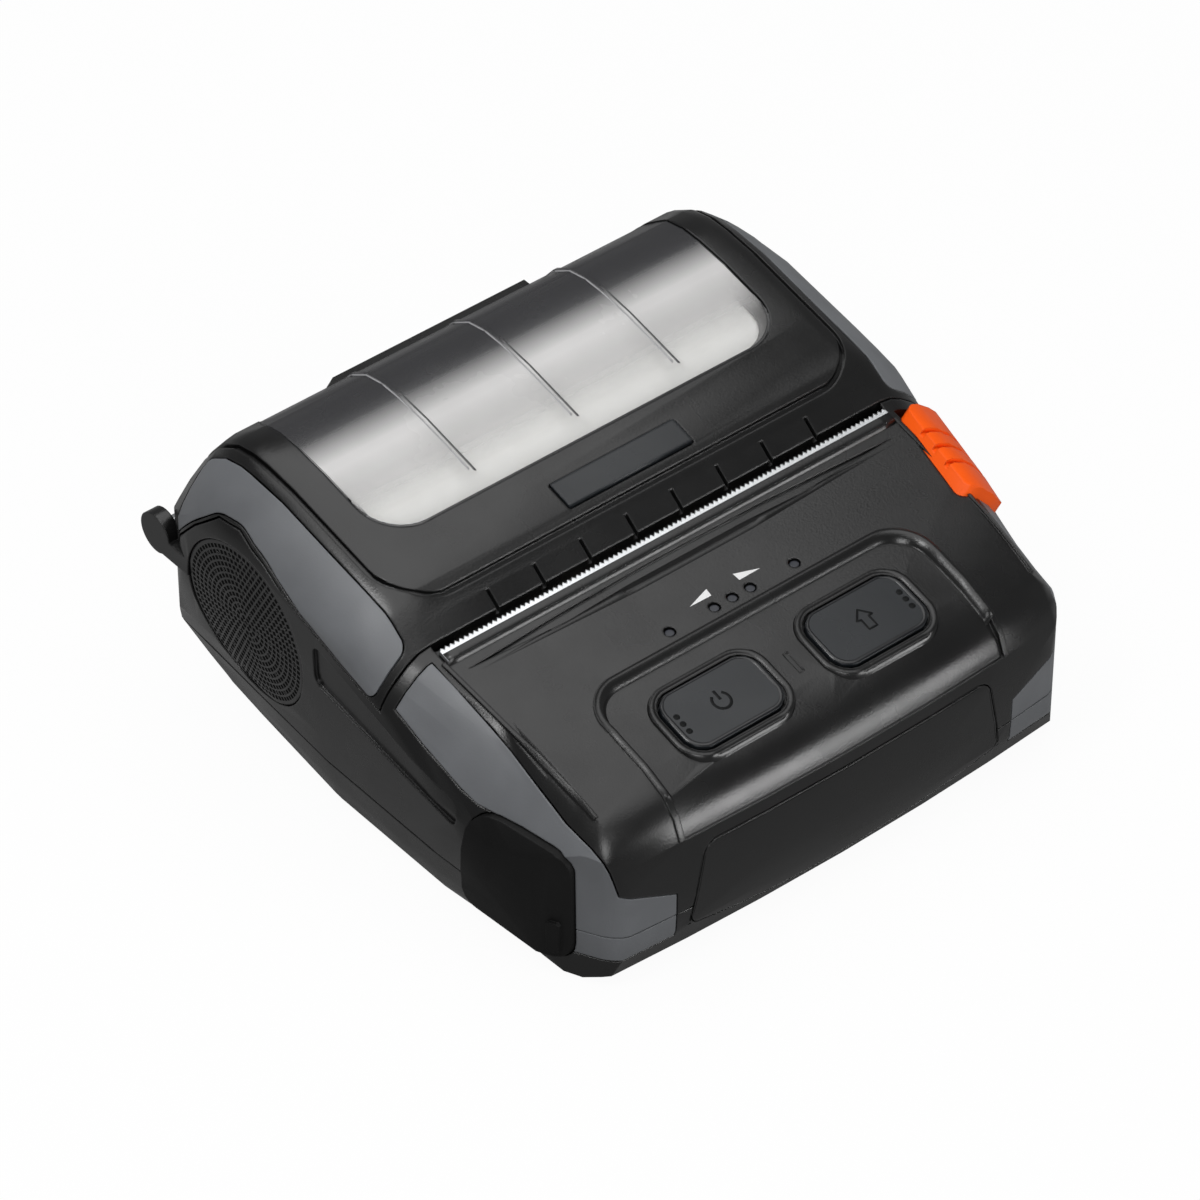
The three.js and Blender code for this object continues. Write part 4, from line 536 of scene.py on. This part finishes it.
def through(corners, steps):
    """Closed path through corners, each side in so many steps."""
    path = []
    for i, corner in enumerate(corners):
        path += straight(corner, corners[(i + 1) % len(corners)], steps)[:-1]
    return path


CORNER_STEPS = 8
LONG_SIDE = 2  # a side longer than this is divided
SIDE_STEP = 1.5


def rounded(x, d, half_long, half_wide, radius):
    """Closed path of a rounded rectangle, clockwise seen from above."""
    a, b = half_long - radius, half_wide - radius
    corners = ((a, b), (a, -b), (-a, -b), (-a, b))
    path = []
    for i, (to_x, to_d) in enumerate(corners):
        path += arc(x + to_x, d + to_d, radius, 90 * i, 90 * (i + 1), CORNER_STEPS)
    divided = []
    for i, point in enumerate(path):
        divided.append(point)
        after = path[(i + 1) % len(path)]
        gap = math.dist(point, after)
        if gap > LONG_SIDE:
            divided += straight(point, after, int(gap / SIDE_STEP))[1:-1]
    return divided


# ---------------------------------------------------------------- details
# ---- grilles: painted shade of small square openings, dark squares on rings round the boss, between the openings of the solids

GRILLE_D = 101.4
GRILLE_Z = 33.7
GRILLE_RINGS = 13
GRILLE_PITCH = 1.3
GRILLE_FIRST = 6  # openings on the first ring, and as many more on each further one
MOULDED_EVERY = 3  # of every third ring, every third opening is in the solid
HOLE_SHADE_HALF = 0.43
HOLE_SHADE_LIFT = 0.02


def paint_grille_holes(side, name, node):
    place = on_side(side, node)
    order = (0, 1, 2, 3) if side > 0 else (3, 2, 1, 0)
    reach = HOLE_SHADE_HALF * math.sqrt(2)
    points, faces = [], []
    for ring in range(1, GRILLE_RINGS + 1):
        r = ring * GRILLE_PITCH
        count = GRILLE_FIRST * ring
        for k in range(count):
            if ring % MOULDED_EVERY == 0 and k % MOULDED_EVERY == 0:
                continue
            t = 2 * math.pi * k / count
            first = len(points)
            for quarter in range(4):
                turn = t + math.pi / 4 + quarter * math.pi / 2
                d = GRILLE_D + r * math.cos(t) + reach * math.cos(turn)
                z = GRILLE_Z + r * math.sin(t) + reach * math.sin(turn)
                points.append(place(d, z, HOLE_SHADE_LIFT))
            faces.append(tuple(first + i for i in order))
    # the dark squares are painted shade where openings are
    add_piece(name, (points, faces), "painted_shade_dark", "base", smooth=False)


# ---- keys: a power sign, an arrow and three dots each

KEY_X = 18.3
KEY_D = 17.9
MARK_RISE = 0.12
SIGN_R = 1.9
SIGN_OPEN = 38  # degrees to either side of the rear
SIGN_WIDTH = 0.7
SIGN_STEM = (0.3, 2.5)  # from and to, behind the key's middle
ARROW = ((0, 2.6), (2.0, 0.4), (1.0, 0.4), (1.0, -2.2), (-1.0, -2.2), (-1.0, 0.4), (-2.0, 0.4))
ARROW_WIDTH = 0.55
KEY_DOT_X = 28.2
KEY_DOTS_D = (19.4, 17.5, 15.6)
KEY_DOT_SIZE = 0.7
KEY_DOT_RISE = 0.24
KEY_DOT_POINTS = 10


def key_dots(place, x):
    turn = 360 - 360 / KEY_DOT_POINTS
    return [line(place, arc(x, d, KEY_DOT_SIZE / 2, 0, turn, KEY_DOT_POINTS - 1),
                 KEY_DOT_SIZE, KEY_DOT_RISE, closed=True) for d in KEY_DOTS_D]


def key_marks():
    place = on_top("power_button")
    sign = arc(-KEY_X, KEY_D, SIGN_R, SIGN_OPEN, 360 - SIGN_OPEN, steps=30)
    stem = straight(*((-KEY_X, KEY_D + d) for d in SIGN_STEM), steps=5)
    marks = [line(place, path, SIGN_WIDTH, MARK_RISE) for path in (sign, stem)]
    marks += key_dots(place, -KEY_DOT_X)
    add_piece("power_key_marks", join(marks), "key_mark", "power_key")

    place = on_top("feed_button")
    arrow = [(KEY_X + x, KEY_D + d) for x, d in through(ARROW, steps=4)]
    marks = [line(place, arrow, ARROW_WIDTH, MARK_RISE, closed=True)]
    marks += key_dots(place, KEY_DOT_X)
    add_piece("feed_key_marks", join(marks), "key_mark", "feed_key")


# ---- deck: two level wedges beside the middle lamps and a raised tick between the keys

WEDGES = (((-8.6, 38.9), (-3.2, 38.8), (-3.0, 40.6)), ((9.2, 38.9), (3.8, 40.7), (3.9, 38.8)))
WEDGE_LIFT = 0.03
TICK_HALF = 0.5
TICK_FROM = 15.6
TICK_TO = 20.6
TICK_WIDTH = 0.42
TICK_RISE = 0.34


def deck_marks():
    place = on_top("main_case")
    points = [place(x, d, WEDGE_LIFT) for wedge in WEDGES for x, d in wedge]
    faces = [(0, 1, 2), (3, 4, 5)]
    add_piece("level_wedges", (points, faces), "white_print", "base", smooth=False)

    corners = ((-TICK_HALF, TICK_FROM), (TICK_HALF, TICK_FROM),
               (TICK_HALF, TICK_TO), (-TICK_HALF, TICK_TO))
    tick = line(place, through(corners, steps=5), TICK_WIDTH, TICK_RISE, closed=True)
    add_piece("deck_tick", tick, "black_plastic", "base")


# ---- window: painted shade and painted highlight along the two flanks of each moulded rib, and the rim round the pane

RIB_X = (-25.8, 0, 25.8)
RIB_RISE = 0.04
# how far to the right of the rib, from and to along the depth, width and steps
RIB_PAINTED_SHADE = (0.3, 83.6, 108, 0.6, 30)
RIB_PAINTED_HIGHLIGHT = (-0.55, 84.5, 124.5, 0.3, 36)

PANE_HALF = 50.9
PANE_MIDDLE_D = 102.3
PANE_HALF_DEEP = 23.4
PANE_CORNER = 10
PANE_RIM_WIDTH = 0.9
PANE_RIM_RISE = 0.11


def rib_flanks(place, out, start, end, width, steps):
    return join([line(place, straight((x + out, start), (x + out, end), steps), width, RIB_RISE)
                 for x in RIB_X])


def window_lines():
    place = on_top("window")
    # painted shade on one flank of each rib and painted highlight on the other
    dark = rib_flanks(place, *RIB_PAINTED_SHADE)
    add_piece("window_rib_painted_shade", dark, "rib_shade", "cover")
    lit = rib_flanks(place, *RIB_PAINTED_HIGHLIGHT)
    add_piece("window_rib_painted_highlight", lit, "rib_lit", "cover")

    path = rounded(0, PANE_MIDDLE_D, PANE_HALF, PANE_HALF_DEEP, PANE_CORNER)
    rim = line(on_top("window", "cover_shell"), path, PANE_RIM_WIDTH, PANE_RIM_RISE, closed=True)
    add_piece("window_rim", rim, "gloss_black", "cover")


# ---- deck: the lip over the front part of the tear bar, and the tapered ridge before it

BAR_LIP_HALF = 56.45
BAR_LIP_D = 54.0
BAR_LIP_WIDTH = 2.4
BAR_LIP_RISE = 0.12

RIDGE_HALF = 52.5
RIDGE_D = 48.9
RIDGE_WIDTH = 3
RIDGE_RISE = 0.5
RIDGE_TAPER = 22


def deck_lines():
    path = straight((BAR_LIP_HALF, BAR_LIP_D), (-BAR_LIP_HALF, BAR_LIP_D), steps=40)
    lip = line(on_top("tear_bar", "main_case"), path, BAR_LIP_WIDTH, BAR_LIP_RISE)
    add_piece("tear_bar_lip", lip, "black_plastic", "base")

    path = straight((RIDGE_HALF, RIDGE_D), (-RIDGE_HALF, RIDGE_D), steps=60)
    ridge = line(on_top("main_case"), path, RIDGE_WIDTH, RIDGE_RISE, taper=RIDGE_TAPER)
    add_piece("deck_ridge", ridge, "black_plastic", "base")


# ---- keys: their glossy rims and the rings round them

KEY_HALF_LONG = 12
KEY_HALF_WIDE = 7.2
KEY_CORNER = 4.4
KEY_RIM_IN = 0.55
KEY_RIM_WIDTH = 0.9
KEY_RIM_RISE = 0.16
KEY_RING_OUT = 1.45
KEY_RING_WIDTH = 1.5
KEY_RING_RISE = 0.3


def round_key(side, out):
    """Closed path out beyond the outline of the left (-1) or right (1) key."""
    return rounded(side * KEY_X, KEY_D, KEY_HALF_LONG + out, KEY_HALF_WIDE + out, KEY_CORNER + out)


def key_rims():
    case = on_top("main_case")
    rings = []
    for side, body, node in ((-1, "power_key", "power_button"), (1, "feed_key", "feed_button")):
        rim = line(on_top(node), round_key(side, -KEY_RIM_IN), KEY_RIM_WIDTH, KEY_RIM_RISE,
                   closed=True)
        add_piece(node + "_rim", rim, "gloss_black", body)
        rings.append(line(case, round_key(side, KEY_RING_OUT), KEY_RING_WIDTH, KEY_RING_RISE,
                          closed=True))
    add_piece("key_rings", join(rings), "black_plastic", "base")


# ---- control tray: the rounded rim round the keys, open to the front

TRAY_HALF = 40.5
TRAY_REAR = 32.4
TRAY_FRONT = 6.5
TRAY_CORNER = 8
TRAY_RIM_WIDTH = 2.3
TRAY_RIM_RISE = 0.42


def tray_rim():
    inner = TRAY_HALF - TRAY_CORNER
    bend = TRAY_REAR - TRAY_CORNER
    path = straight((-TRAY_HALF, TRAY_FRONT), (-TRAY_HALF, bend), steps=16)[:-1]
    path += arc(-inner, bend, TRAY_CORNER, -90, 0, steps=12)[:-1]
    path += straight((-inner, TRAY_REAR), (inner, TRAY_REAR), steps=30)[:-1]
    path += arc(inner, bend, TRAY_CORNER, 0, 90, steps=12)
    path += straight((TRAY_HALF, bend), (TRAY_HALF, TRAY_FRONT), steps=16)[1:]
    rim = line(on_top("main_case"), path, TRAY_RIM_WIDTH, TRAY_RIM_RISE)
    add_piece("tray_rim", rim, "black_plastic", "base")


# ---- front panel: painted groove shadow, a dark line wider than the gap along its sides and top

PANEL_TOP_HALF = 36
PANEL_LOW_HALF = 39.6
PANEL_TOP = 27.8
PANEL_LOW = 8.6
PANEL_CORNER = 2.5
PANEL_CORNER_OUT = 0.5
PANEL_GROOVE_SHADE_WIDTH = 1.1
PANEL_GROOVE_SHADE_RISE = 0.05


def shade_panel_groove():
    place = on_front("front_panel", "main_case", "bottom_case", "lower_corner_left",
                     "lower_corner_right")
    shoulder, below = PANEL_TOP_HALF + PANEL_CORNER_OUT, PANEL_TOP - PANEL_CORNER
    top = PANEL_TOP_HALF - PANEL_CORNER
    path = straight((-PANEL_LOW_HALF, PANEL_LOW), (-shoulder, below), steps=12)
    path += straight((-top, PANEL_TOP), (top, PANEL_TOP), steps=30)
    path += straight((shoulder, below), (PANEL_LOW_HALF, PANEL_LOW), steps=12)
    # painted shade of the groove round the panel
    painted_groove = line(place, path, PANEL_GROOVE_SHADE_WIDTH, PANEL_GROOVE_SHADE_RISE)
    add_piece("front_panel_groove_shade", painted_groove, "painted_shade_dark", "base")


# ---------------------------------------------------------------- scene

bpy.context.scene.view_settings.view_transform = "Standard"
add_camera()
add_world()
add_floor()
for lamp in LAMPS:
    add_lamp(*lamp)

finishes = make_finishes()
dress_nodes()
paint_grille_holes(-1, "grille_hole_shade_left", "grille_left")
paint_grille_holes(1, "grille_hole_shade_right", "grille_right")
key_marks()
deck_marks()
window_lines()
deck_lines()
key_rims()
tray_rim()
shade_panel_groove()
